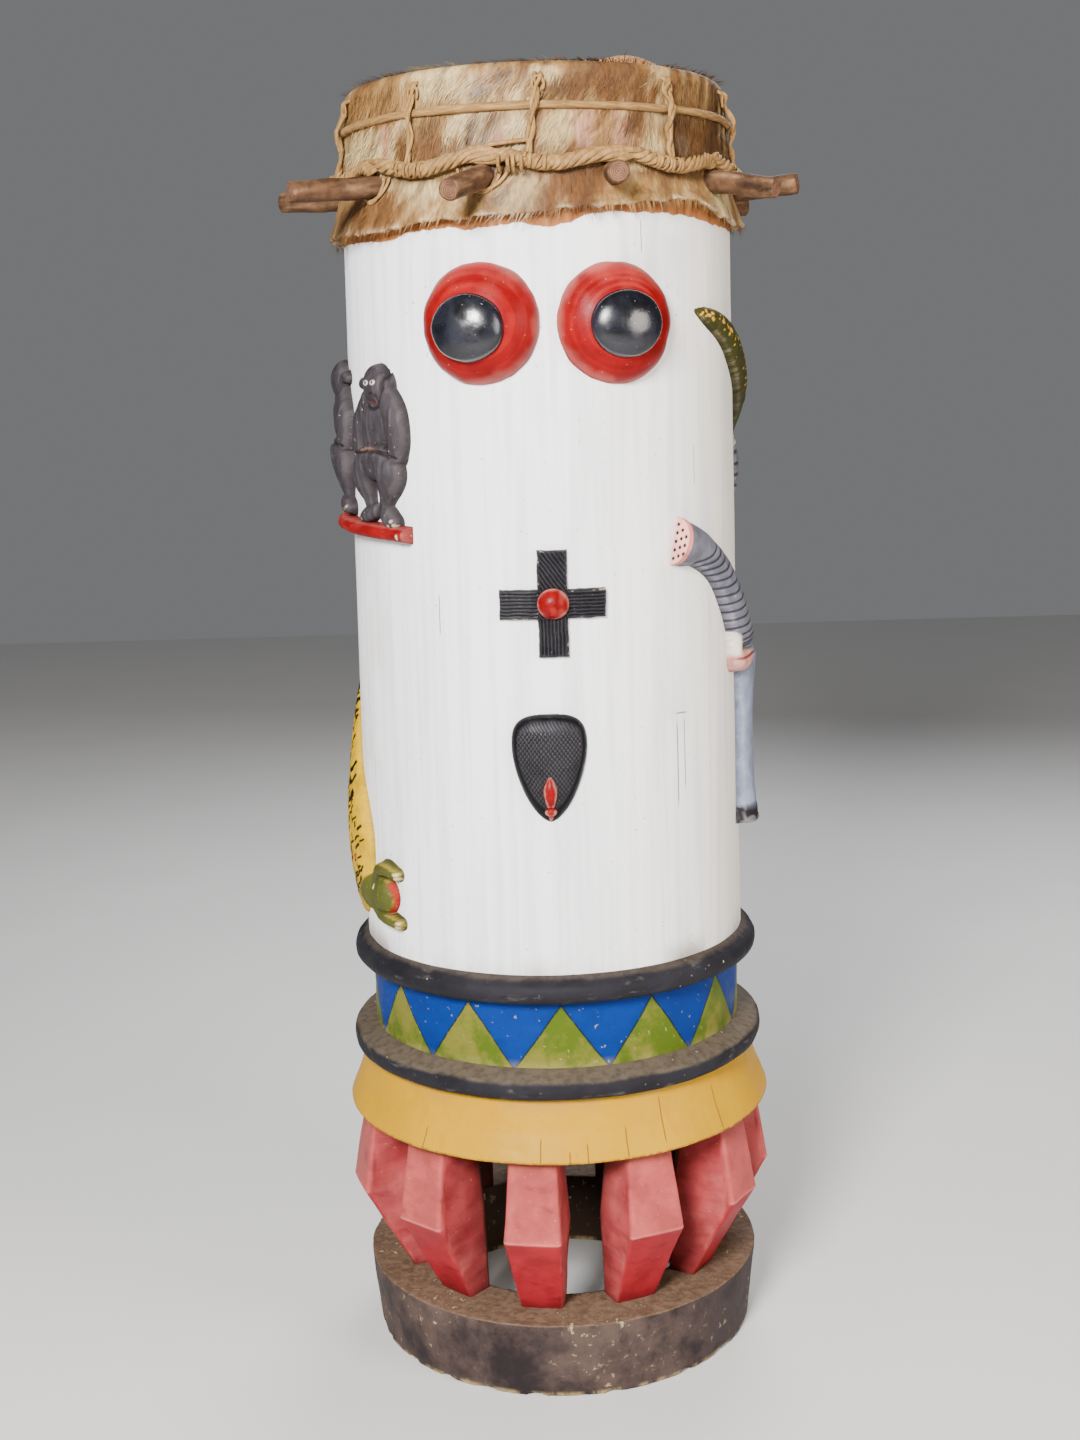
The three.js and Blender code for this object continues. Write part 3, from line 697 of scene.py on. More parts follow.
def ring_finish(name, paint, dusty_above, dust_and_highlight):
    """Dark scuffed ring, dusty above a level."""
    s = Surface(name)
    broad = s.noise(13, detail=5.0, roughness=0.65)
    fine = s.noise(110, detail=4.0)
    scuffs = s.noise(1, (30, 30, 90), 5.0)
    colour = s.mix(s.span(broad, 0.35, 0.7), paint.ring, shades(paint.ring, 1.9))
    colour = s.mix(s.span(scuffs, 0.58, 0.75, 0.0, 0.45), colour, screen(140, 136, 132))
    lifted = s.plus(s.level(), s.centred(broad, 0.012))
    top = s.span(lifted, dusty_above - 0.002, dusty_above + 0.003)
    speckled = s.mix(s.span(fine, 0.35, 0.7), dust_and_highlight, shades(dust_and_highlight, 0.62))
    colour = s.mix(s.times(top, s.span(fine, 0.1, 0.45, 0.6, 1.0)), colour, speckled)
    colour = s.mix(s.span(fine, 0.70, 0.76, 0.0, 0.7), colour, PALE_CHIP)
    relief = s.plus(fine, s.times(broad, 1.6))
    return s.finish(colour, s.span(broad, 0.3, 0.7, 0.5, 0.78), relief, 0.9 * MM)


# Cracks in the flare: angle, lower and upper end
FLARE_CRACKS = [
    (27.8, 0.31, 0.368), (17.0, 0.302, 0.340), (6.6, 0.302, 0.326), (2.0, 0.302, 0.318),
    (-5.4, 0.302, 0.332), (-38.0, 0.302, 0.330), (47.0, 0.302, 0.36), (104.0, 0.302, 0.37),
    (-120.0, 0.302, 0.36), (171.0, 0.302, 0.35),
]


def yellow_finish(paint):
    """Yellow paint, checked along the grain and dusty under the ring."""
    s = Surface("yellow_flare")
    broad = s.noise(9, detail=5.0)
    grain = s.noise(1, (75, 75, 7), 4.0)
    fine = s.noise(140, detail=3.0)
    colour = s.mix(s.span(broad, 0.35, 0.7), paint.yellow, (0.49, 0.26, 0.0))
    colour = s.mix(s.span(grain, 0.55, 0.8, 0.0, 0.4), colour, screen(200, 146, 30))
    dust_and_highlight = s.span(s.level(), FLARE_TOP - 0.026, FLARE_TOP, 0.0, 0.6)
    colour = s.mix(s.times(dust_and_highlight, s.span(broad, 0.42, 0.6)), colour, screen(176, 142, 96))
    crack = s.cracks((*place, 0.0009, 0.0015) for place in FLARE_CRACKS)
    colour = s.mix(s.times(crack, 0.6), colour, screen(110, 78, 26))
    lip = s.span(s.level(), LEG_TOP + 0.001, LEG_TOP + 0.004, 0.75, 0.0)
    colour = s.mix(s.times(lip, s.span(fine, 0.3, 0.6)), colour, screen(140, 96, 34))
    colour = s.mix(s.span(fine, 0.70, 0.77, 0.0, 0.5), colour, screen(150, 110, 50))
    relief = s.minus(s.plus(grain, s.times(fine, 0.4)), crack)
    return s.finish(colour, s.span(broad, 0.3, 0.7, 0.36, 0.56), relief, 0.5 * MM)


def foot_finish():
    """Grey-brown worn side, dusty tan top, bare inner wall."""
    s = Surface("foot_ring_wood")
    broad = s.noise(10, detail=6.0, roughness=0.68)
    grain = s.noise(1, (55, 55, 11), 5.0, 0.6)
    fine = s.noise(120, detail=4.0)
    side = s.mix(s.span(broad, 0.36, 0.66), screen(74, 66, 68), screen(122, 108, 102))
    side = s.mix(s.span(grain, 0.58, 0.8, 0.0, 0.55), side, screen(58, 52, 56))
    blue = s.span(s.angle(), math.radians(25), math.radians(60))
    side = s.mix(s.times(blue, s.span(broad, 0.45, 0.6), 0.6), side, screen(62, 66, 84))
    top = s.mix(s.span(fine, 0.3, 0.7), screen(146, 128, 112), screen(122, 104, 90))
    normal = s.add("ShaderNodeNewGeometry").outputs["Normal"]
    upward = s.add("ShaderNodeSeparateXYZ", normal).outputs["Z"]
    colour = s.mix(s.span(upward, 0.35, 0.75), side, top)
    radius = s.add("ShaderNodeVectorMath", s.stretched((1, 1, 0)), operation="LENGTH").outputs["Value"]
    hollow = s.span(radius, FOOT_INNER_RADIUS + 0.002, FOOT_INNER_RADIUS + 0.006, 0.8, 0.0)
    colour = s.mix(hollow, colour, INNER_WOOD)
    chips = s.times(s.span(fine, 0.6, 0.68), s.span(broad, 0.5, 0.62))
    colour = s.mix(s.times(chips, 0.8), colour, screen(196, 186, 158))
    streaks = s.times(s.span(grain, 0.64, 0.72), s.span(broad, 0.55, 0.65), 0.5)
    colour = s.mix(streaks, colour, screen(176, 166, 160))
    low = s.span(s.level(), 0.001, 0.009, 0.8, 0.0)
    colour = s.mix(s.times(low, s.span(grain, 0.42, 0.58)), colour, screen(202, 184, 140))
    relief = s.plus(s.times(grain, 1.4), fine)
    return s.finish(colour, s.span(broad, 0.3, 0.7, 0.55, 0.8), relief, 0.9 * MM)


def wood_finish(name, light, dark, depth=0.8 * MM):
    """Unpainted wood with upright grain."""
    s = Surface(name)
    grain = s.noise(1, (70, 70, 6), 5.0, 0.6)
    broad = s.noise(8, detail=4.0)
    colour = s.mix(s.span(grain, 0.35, 0.7), light, dark)
    colour = s.mix(s.span(broad, 0.5, 0.75, 0.0, 0.5), colour, shades(dark, 0.6))
    return s.finish(colour, s.span(grain, 0.3, 0.7, 0.65, 0.85), grain, depth)


def carved_finish(name, rough=0.55, stretch=(40, 40, 12), mottle=42, depth=0.45 * MM, chips=0.55):
    """Painted carving: its own colours, brushed, mottled and chipped."""
    s = Surface(name)
    mottling = s.noise(mottle, detail=5.0, roughness=0.6)
    grain = s.noise(1, stretch, 4.0)
    fine = s.noise(260, detail=3.0)
    colour = s.shaded_paint(mottling, 0.32, 0.7, (0.80, 0.80, 0.80), (1.16, 1.15, 1.14))
    dark = s.mix(1.0, colour, (0.62, 0.6, 0.6), blend="MULTIPLY")
    colour = s.mix(s.span(grain, 0.52, 0.75, 0.0, 0.7), colour, dark)
    colour = s.mix(s.span(fine, 0.69, 0.75, 0.0, chips), colour, PALE_CHIP)
    relief = s.plus(s.times(grain, 1.3), s.times(fine, 0.5))
    return s.finish(colour, s.span(mottling, 0.3, 0.7, rough - 0.1, rough + 0.14), relief, depth)


def pupil_finish():
    """Glossy black ball with faint dust."""
    s = Surface("pupil_black")
    mottling = s.noise(30, detail=5.0)
    fine = s.noise(210, detail=3.0)
    colour = s.mix(s.span(mottling, 0.35, 0.7), screen(34, 34, 40), screen(62, 64, 76))
    colour = s.mix(s.span(fine, 0.68, 0.75, 0.0, 0.6), colour, screen(170, 172, 180))
    rough = s.span(mottling, 0.3, 0.7, 0.16, 0.34)
    return s.finish(colour, rough, s.plus(mottling, s.times(fine, 0.2)), 0.5 * MM, 0.6)


def skin_finish():
    """Hide under its hair: streaks of its own colours."""
    s = Surface("hide_skin")
    streaks = s.noise(1, (260, 260, 30), 4.0, 0.6)
    mottling = s.noise(46, detail=5.0)
    colour = s.shaded_paint(streaks, 0.35, 0.68, (0.72, 0.70, 0.68), (1.14, 1.14, 1.13))
    colour = s.mix(s.span(mottling, 0.55, 0.75, 0.0, 0.3), colour, screen(120, 88, 56))
    relief = s.plus(streaks, s.times(mottling, 1.5))
    return s.finish(colour, s.span(mottling, 0.3, 0.7, 0.6, 0.8), relief, 0.8 * MM, 0.3)


def hair_finish():
    s = Surface("hide_hair")
    streaks = s.noise(1, (400, 400, 60), 3.0)
    colour = s.shaded_paint(streaks, 0.3, 0.7, (0.82, 0.81, 0.80), (1.15, 1.15, 1.15))
    return s.finish(colour, s.span(streaks, 0.3, 0.7, 0.42, 0.6), specular=0.35)


def cane_finish(name, stretch):
    """Split cane with fibres along its run."""
    s = Surface(name)
    fibres = s.noise(1, stretch, 4.0, 0.6)
    mottling = s.noise(34, detail=4.0)
    colour = s.shaded_paint(fibres, 0.34, 0.68, (0.66, 0.62, 0.56), (1.12, 1.12, 1.1))
    colour = s.mix(s.span(mottling, 0.56, 0.74, 0.0, 0.45), colour, screen(132, 100, 66))
    return s.finish(colour, s.span(mottling, 0.3, 0.7, 0.42, 0.64), fibres, 0.5 * MM)


def bark_finish():
    s = Surface("peg_bark")
    ridges = s.noise(60, detail=6.0, roughness=0.7)
    fine = s.noise(320, detail=3.0)
    colour = s.shaded_paint(ridges, 0.34, 0.68, (0.62, 0.60, 0.60), (1.2, 1.18, 1.16))
    colour = s.mix(s.span(fine, 0.66, 0.74, 0.0, 0.4), colour, screen(176, 160, 146))
    relief = s.plus(ridges, s.times(fine, 0.3))
    return s.finish(colour, s.span(ridges, 0.3, 0.7, 0.6, 0.85), relief, 1.1 * MM)


# The log

def edge_level(points, turn):
    """A ragged edge's height in metres at angles in radians, from (degrees, millimetres) points."""
    angles, levels = zip(*points)
    return np.interp(np.degrees(turn), angles, levels) * MM


def painted_side(paint):
    """The white side, hewn slightly uneven, from inside the upper ring to under the hide."""
    profile = stepped(np.array([
        (SIDE_BOTTOM_RADIUS, PAINT_BOTTOM - 0.004),
        (SIDE_TOP_RADIUS, PAINT_TOP),
        (RIM_RADIUS, LOG_TOP - 0.002),
    ]), 0.0042)

    def hewn(radius, level, turn):
        spot = around(turn, radius, level)
        facets = 0.55 * MM * noise(spot, (0.05, 0.05, 0.16), 3, 2)
        under_hide = ramp(level, HEM_LEVEL + 0.01, HEM_LEVEL + 0.02) * 0.5 * MM
        return radius + facets - under_hide, level

    points, faces = turned(profile, 240, hewn)
    turn = np.arctan2(points[..., 0], -points[..., 1])
    above = points[..., 2] - edge_level(PAINT_POINTS, turn)
    grid_piece("painted_side", (points, faces), white_finish(paint), fields={"above_paint": above})


def log_hollow():
    """The unpainted hollow and the rim, seen from below."""
    profile = stepped(rounded([
        (RIM_RADIUS - 0.001, LOG_TOP - 0.004),
        (RIM_RADIUS - 0.002, LOG_TOP),
        (INNER_RADIUS, LOG_TOP),
        (INNER_RADIUS, LEG_TOP + 0.001),
    ], 0.002), 0.012)

    def gouged(radius, level, turn):
        spot = around(turn, radius, level)
        gouges = 1.2 * MM * noise(spot, (0.03, 0.03, 0.07), 9, 2)
        return radius + gouges * ramp(-level, -LOG_TOP, -LOG_TOP + 0.02), level

    look = wood_finish("hollow_wood", INNER_WOOD, screen(60, 47, 38))
    grid_piece("log_hollow", turned(profile, 80, gouged), look)


def grid_piece(name, grid, material, **options):
    """A piece of the log made of one grid, given as its points and faces."""
    shape = Shape()
    shape.add(*grid)
    shape.log_piece(name, material, **options)


def knocked(amount, seed):
    """A bend that dents a turned form a little everywhere."""
    def dents(radius, level, turn):
        spot = around(turn, radius, level)
        dent = amount * noise(spot, (0.035, 0.035, 0.02), seed, 3)
        chip = -2.2 * amount * ramp(noise(spot, 0.016, seed + 11, 2), 0.62, 0.95)
        return radius + dent + chip, level + 0.4 * amount * noise(spot, 0.05, seed + 21, 2)
    return dents


def rings_and_band(paint):
    """The two dark rings with the toothed band between them."""
    upper = stepped(rounded([
        (BAND_RADIUS - 0.004, BAND_TOP + 0.001),
        (UPPER_RING_RADIUS - 0.004, BAND_TOP + 0.002),
        (UPPER_RING_RADIUS + 0.001, BAND_TOP + 0.011),
        (UPPER_RING_RADIUS - 0.001, BAND_TOP + 0.022),
        (SIDE_BOTTOM_RADIUS + 0.002, PAINT_BOTTOM),
        (SIDE_BOTTOM_RADIUS - 0.006, PAINT_BOTTOM + 0.001),
    ], 0.006), 0.0022)
    lower = stepped(rounded([
        (FLARE_TOP_RADIUS - 0.004, FLARE_TOP + 0.0005),
        (LOWER_RING_RADIUS - 0.003, FLARE_TOP + 0.001),
        (LOWER_RING_RADIUS + 0.0005, FLARE_TOP + 0.009),
        (LOWER_RING_RADIUS - 0.001, FLARE_TOP + 0.0225),
        (BAND_RADIUS + 0.002, BAND_BOTTOM),
        (BAND_RADIUS - 0.005, BAND_BOTTOM + 0.001),
    ], 0.005), 0.0022)
    band = stepped(np.array([(BAND_RADIUS, BAND_BOTTOM - 0.004), (BAND_RADIUS, BAND_TOP + 0.004)]), 0.004)
    upper_look = ring_finish("upper_ring_paint", paint, PAINT_BOTTOM - 0.004, screen(108, 100, 94))
    lower_look = ring_finish("lower_ring_paint", paint, FLARE_TOP + 0.021, screen(128, 118, 106))
    for name, profile, look, amount, seed in (
        ("upper_ring", upper, upper_look, 0.7 * MM, 31),
        ("lower_ring", lower, lower_look, 0.7 * MM, 47),
        ("triangle_band", band, band_finish(paint), 0.25 * MM, 59),
    ):
        grid_piece(name, turned(profile, 280, knocked(amount, seed)), look)


def flare(paint):
    """The yellow skirt over the legs, with its flat underside."""
    profile = stepped(rounded([
        (INNER_RADIUS, LEG_TOP + 0.0005),
        (FLARE_BOTTOM_RADIUS, LEG_TOP),
        (FLARE_BOTTOM_RADIUS - 0.014, LEG_TOP + 0.034),
        (FLARE_TOP_RADIUS, FLARE_TOP + 0.001),
        (FLARE_TOP_RADIUS - 0.006, FLARE_TOP + 0.003),
    ], 0.003), 0.004)
    grid_piece("yellow_flare", turned(profile, 280, knocked(0.45 * MM, 71)), yellow_finish(paint), sharp=50)


def foot_ring():
    """The ring under the legs, chipped along its edges and ragged below."""
    profile = stepped(rounded([
        (FOOT_INNER_RADIUS, 0.002),
        (FOOT_BOTTOM_RADIUS, 0.001),
        (FOOT_TOP_RADIUS, FOOT_TOP),
        (FOOT_INNER_RADIUS, FOOT_TOP),
        (FOOT_INNER_RADIUS, 0.004),
    ], 0.003), 0.005)

    def chipped(radius, level, turn):
        spot = around(turn, radius, level)
        outer = ramp(radius, FOOT_INNER_RADIUS + 0.05, FOOT_BOTTOM_RADIUS - 0.004)
        low = 1 - ramp(level, 0, 0.012)
        bites = ramp(noise(spot, 0.018, 83, 2), 0.15, 0.8)
        top = ramp(level, FOOT_TOP - 0.008, FOOT_TOP)
        nicks = ramp(noise(spot, 0.022, 91, 2), 0.35, 0.9)
        radius = radius + 0.8 * MM * noise(spot, (0.05, 0.05, 0.03), 97, 3)
        radius = radius - outer * (2.6 * MM * low * bites + 2.4 * MM * top * nicks)
        level = level + 2.6 * MM * low * bites * outer - 1.2 * MM * top * nicks * outer
        return radius, np.maximum(level, 0)

    grid_piece("foot_ring", turned(profile, 240, chipped, closed=True), foot_finish(), sharp=55)


def leg_section(level):
    """Outer radius, inner radius and width of a leg at a height."""
    levels = [FOOT_TOP, LEG_KNEE_LEVEL, LEG_TOP]
    outer = np.interp(level, levels, [LEG_RADII["bottom"], LEG_RADII["knee"], LEG_RADII["top"]])
    width = np.interp(level, levels, [LEG_WIDTHS["bottom"], LEG_WIDTHS["knee"], LEG_WIDTHS["top"]])
    inner = np.interp(level, levels, [FOOT_INNER_RADIUS + 0.002, 0.177, INNER_RADIUS + 0.001])
    return outer, inner, width


def box_outline(columns, roundness=0.16):
    """Points round a rounded rectangle, as shares of its half width and half depth."""
    along = once_round(columns)
    x = np.sign(np.cos(along)) * np.abs(np.cos(along)) ** roundness
    y = np.sign(np.sin(along)) * np.abs(np.sin(along)) ** roundness
    return x, y


def legs():
    """Eleven kinked legs, dusty above the knee and bright red below."""
    rows = np.concatenate([
        np.linspace(FOOT_TOP - 0.004, LEG_KNEE_LEVEL - 0.003, 20),
        np.linspace(LEG_KNEE_LEVEL - 0.0015, LEG_KNEE_LEVEL + 0.0015, 3),
        np.linspace(LEG_KNEE_LEVEL + 0.003, LEG_TOP + 0.004, 18),
    ])
    columns = 48
    share_x, share_y = box_outline(columns)
    outer, inner, width = (value[:, None] for value in leg_section(rows))
    shape = Shape()
    for index in range(LEG_COUNT):
        turn = math.radians(LEG_FIRST_ANGLE + index * 360 / LEG_COUNT)
        wobble = 1 + 0.03 * math.sin(index * 2.3)
        side = share_x * width / 2 * wobble
        radius = (outer + inner) / 2 + share_y * (outer - inner) / 2
        level = np.broadcast_to(rows[:, None], radius.shape)
        local = np.stack([side, radius, level], axis=-1)
        cut = 0.9 * MM * noise(local + index, (0.02, 0.02, 0.05), 101 + index, 2)
        radius = radius + cut * share_y
        side = side + cut * share_x
        outward = np.array([math.sin(turn), -math.cos(turn), 0])
        across = np.array([math.cos(turn), math.sin(turn), 0])
        points = radius[..., None] * outward + side[..., None] * across
        points[..., 2] = level
        streaks = noise(local + index, (0.004, 0.004, 0.05), 131 + index, 2)
        blotches = noise(local + index, (0.03, 0.03, 0.03), 151 + index, 2)
        face = ramp(share_y, 0.8, 0.98) * np.ones_like(level)
        above = ramp(level + 0.002 * blotches, LEG_KNEE_LEVEL - 0.001, LEG_KNEE_LEVEL + 0.001)
        corner = ramp(np.abs(share_x) * np.abs(share_y), 0.86, 0.97)
        # Painted shade: the inner faces, towards the hollow, are painted dark brown.
        inner_face_shade = 1 - ramp(share_y, -0.98, -0.6)
        brown = ramp(level + 0.004 * blotches, LEG_TOP - 0.028, LEG_TOP - 0.002) * face
        shade = 1 - ramp(level, FOOT_TOP, FOOT_TOP + 0.012)
        knee = np.exp(-((level - LEG_KNEE_LEVEL) / 0.0016) ** 2) * face
        colour = layered(
            np.broadcast_to(screen(184, 102, 104), points.shape),
            (screen(174, 66, 76), face * (1 - above)),
            (screen(190, 112, 110), face * above),
            (screen(150, 62, 66), (1 - face) * ramp(streaks, 0.0, 0.9) * 0.7),
            (screen(202, 132, 128), (1 - face) * ramp(-streaks, 0.1, 0.9) * 0.5),
            (screen(214, 140, 134), corner * ramp(blotches, -0.3, 0.5) * 0.7),
            (screen(110, 72, 62), inner_face_shade * np.ones_like(level)),
            (screen(150, 96, 78), brown * 0.6),
            (screen(96, 52, 52), shade * 0.6),
            (screen(224, 150, 146), knee * 0.7),
        )
        shape.add(points, grid_faces(len(rows), columns)[:, ::-1], colour=colour)
    look = carved_finish("leg_paint", 0.5, (30, 30, 70), 30, 0.4 * MM, 0.35)
    shape.log_piece("legs", look, sharp=40)


# Eyes, cross and mouth

EYE_RADIUS = 0.065
PUPIL_RADIUS = 0.036
EYE_REACH = 0.049
EYE_RISE = 0.036
EYE_SPOKES = 128
PUPIL_SPOKES = 96
DOME_SQUARENESS = 2.3
DOME_FULLNESS = 0.62
# Each eye's angle and share of the painted height, and its pupil's shift across and up
EYES = [("left", -16.4, 0.869, (-0.004, -0.005)), ("right", 21.0, 0.866, (0.0, -0.002))]


def wrapped(flat, angle, level):
    """Flat carving points (x, y, height) bent round the painted side."""
    turn = math.radians(angle) + flat[..., 0] / BODY_RADIUS
    return around(turn, side_radius(level + flat[..., 1]) + flat[..., 2], level + flat[..., 1])


def mound(shares, heights, spokes, radius, ragged, seed):
    """Flat points of a round form: shares of its radius from the rim inwards, and their heights."""
    direction = once_round(spokes)
    share = np.asarray(shares)[:, None]
    rim = np.stack([np.cos(direction), np.sin(direction), np.zeros(spokes)], axis=-1) * radius
    uneven = 1 + ragged / radius * noise(rim, 0.02, seed, 2) * ramp(share, 0.5, 0.9)
    reach = share * radius * uneven
    x = reach * np.cos(direction)
    y = reach * np.sin(direction)
    return np.stack([x, y, np.broadcast_to(np.asarray(heights)[:, None], x.shape)], axis=-1)


def eye(name, angle, share, shift, paint, red_look, black_look):
    """A red dome, with painted highlight on its upper part and painted shade on its lower part, and, standing
    out of it, the glossy black ball of the pupil.
    """
    level = painted_level(share)
    shares = np.concatenate([[1.012, 1.006], np.linspace(1.0, 0.36, 44)])
    dome = EYE_RISE * np.maximum(1 - np.minimum(shares, 1) ** DOME_SQUARENESS, 0) ** DOME_FULLNESS
    dome[0] = -SINK
    dome[1] = -0.001
    seed = 200 + round(angle)
    flat = mound(shares, dome, EYE_SPOKES, EYE_RADIUS, 0.9 * MM, seed)
    flat[..., 0] *= 1.02
    cuts = noise(flat * (1, 1, 0), 0.02, seed + 1, 2)
    still = np.zeros_like(cuts)
    inwards = np.stack([shares[:, None] * np.ones(EYE_SPOKES), still, still], axis=-1)
    strokes = noise(inwards + 0.1 * flat, 0.05, seed + 3, 3)
    flat[2:, :, 2] += 0.35 * MM * cuts[2:]
    x = flat[..., 0] / EYE_RADIUS
    y = flat[..., 1] / EYE_RADIUS
    out = np.hypot(x, y)
    # Painted highlight: the dome's upper part and rim are paler red.
    dust_and_highlight = ramp(y + 0.5 * out + 0.25 * cuts + 0.2 * strokes, 0.7, 1.35)
    # Painted shade: the dome is deeper red towards its lower right.
    deep = ramp(0.8 * x - 0.8 * y + 0.2 * strokes, 0.1, 0.9) * (1 - ramp(out, 0.78, 0.98))
    # Painted shade along the lower rim.
    lip = ramp(out + 0.012 * cuts, 0.985, 0.998) * ramp(-y, 0.1, 0.5)
    colour = layered(
        np.broadcast_to(np.array(paint.red), flat.shape),
        (screen(178, 86, 82), dust_and_highlight * 0.8),
        (screen(150, 26, 36), deep * 0.7),
        (screen(184, 118, 110), ramp(out + 0.06 * cuts, 0.88, 1.0) * 0.6),
        (screen(188, 56, 52), ramp(strokes, 0.1, 0.8) * 0.3),
        (screen(160, 30, 36), lip),
    )
    shape = Shape()
    shape.add(wrapped(flat, angle, level), grid_faces(len(shares), EYE_SPOKES), colour=colour)
    shape.log_piece("eye_" + name, red_look)
    shares = np.concatenate([[0.97, 1.0], np.linspace(0.995, 0.02, 26)])
    base = EYE_RISE * (1 - (PUPIL_RADIUS / EYE_RADIUS) ** DOME_SQUARENESS) ** DOME_FULLNESS + 0.0015
    ball = base + (EYE_REACH - base) * np.sqrt(np.maximum(1 - np.minimum(shares, 1) ** 2.2, 0))
    ball[0] = base - 0.010
    ball[1] = base - 0.007
    flat = mound(shares, ball, PUPIL_SPOKES, PUPIL_RADIUS, 0.5 * MM, seed + 7)
    flat[..., 2] += 0.4 * MM * noise(flat * (1, 1, 0), 0.02, seed + 8, 2)
    flat[..., :2] += shift
    centre = flat[-1].mean(axis=0)
    points = np.vstack([flat.reshape(-1, 3), centre])
    shape = Shape()
    cap = fan(len(points) - 1, PUPIL_SPOKES)
    shape.add(wrapped(points, angle, level), grid_faces(len(shares), PUPIL_SPOKES), cap)
    shape.log_piece("pupil_" + name, black_look)


CROSS_PLACE = (1.5, 0.507)
CROSS_SIZE = 59.5
CROSS_ARM = 17
CROSS_REACH = 6.5
CROSS_PITCH = 3.9
BOSS_SPOKES = 64


def cross_carving():
    """A black cross with grooved arms."""
    c = Carving(MM, -64, 64, -64, 64, 0.7)
    rough = noise(c.flat, 0.010, 301, 3)
    sway = 0.6 * rough
    level_arm = np.maximum(np.abs(c.y + 0.6) - CROSS_ARM, np.abs(c.x) - CROSS_SIZE) + sway
    upright = np.maximum(np.abs(c.x) - CROSS_ARM, np.abs(c.y) - CROSS_SIZE) + sway
    outside = np.minimum(level_arm, upright)
    c.height = CROSS_REACH - (CROSS_REACH + 6) * ramp(outside, -2.2, 1.2)
    c.colour[:] = SIGN_BLACK
    fine = noise(c.flat, (0.004, 0.03, 1), 307, 2)
    on_level = (np.abs(c.x) > CROSS_ARM - 1) & (np.abs(c.y) < CROSS_ARM + 2)
    lower = (c.y < -CROSS_ARM + 1) & (np.abs(c.x) < CROSS_ARM + 2)
    cuts_across = np.sin((c.y + 0.5 * rough) * 2 * math.pi / CROSS_PITCH)
    cuts_down = np.sin((c.x + 0.5 * rough) * 2 * math.pi / CROSS_PITCH)
    cuts_slant = np.sin((c.x * 0.8 + c.y * 0.55 + 0.5 * rough) * 2 * math.pi / CROSS_PITCH)
    cuts = np.where(on_level, cuts_across, np.where(lower, cuts_down, cuts_slant))
    inside = 1 - ramp(outside, -4, -1.5)
    groove = ramp(-cuts, 0.35, 0.95) * inside
    c.height = c.height - 0.8 * groove + 0.3 * fine * inside
    # Painted highlight: the ridges between the cuts are lighter.
    c.tint(screen(86, 85, 92), ramp(cuts, 0.1, 0.9) * inside * 0.7)
    c.tint(screen(104, 74, 60), ramp(rough, 0.3, 1.0) * lower * 0.4)
    flecks = noise(c.flat, (0.006, 0.002, 1), 309, 2)
    rim = ramp(outside, -3.2, -2.0) * (1 - ramp(outside, -1.4, -0.6))
    c.tint(screen(196, 186, 174), rim * ramp(flecks, 0.45, 0.8) * 0.9)
    look = carved_finish("cross_paint", 0.42, (60, 60, 20), 60, 0.3 * MM, 0.12)
    level = painted_level(CROSS_PLACE[1])
    c.piece("cross_carving", CROSS_PLACE[0], level, look, 311, 0.2 * MM, screen(100, 98, 102), 0)


def boss(paint, red_look):
    """The red half ball at the middle of the cross."""
    radius = 0.017
    shares = np.concatenate([[1.03, 1.02], np.linspace(1.0, 0.03, 18)])
    heights = 0.0055 + 0.0155 * np.sqrt(np.maximum(1 - np.minimum(shares, 1) ** 2.3, 0))
    heights[0] = 0.002
    flat = mound(shares, heights, BOSS_SPOKES, radius, 0.5 * MM, 331)
    out = np.hypot(flat[..., 0], flat[..., 1]) / radius
    tint = noise(flat * (1, 1, 0), 0.008, 333, 2)
    colour = layered(
        np.broadcast_to(np.array(paint.red), flat.shape),
        (screen(214, 150, 142), ramp(out + 0.1 * tint, 0.82, 0.98) * 0.85),
        (screen(206, 96, 90), ramp(tint, 0.0, 0.9) * 0.4),
    )
    points = np.vstack([flat.reshape(-1, 3), flat[-1].mean(axis=0)])
    colours = np.vstack([colour.reshape(-1, 3), colour[-1, 0]])
    faces = grid_faces(len(shares), BOSS_SPOKES)
    cap = fan(len(points) - 1, BOSS_SPOKES)
    angle, share = CROSS_PLACE
    shape = Shape()
    shape.add(wrapped(points, angle, painted_level(share)), faces, cap, colour=colours)
    shape.log_piece("cross_boss", red_look)


MOUTH_PLACE = (-0.5, 0.317)
MOUTH_PITCH = 3.9


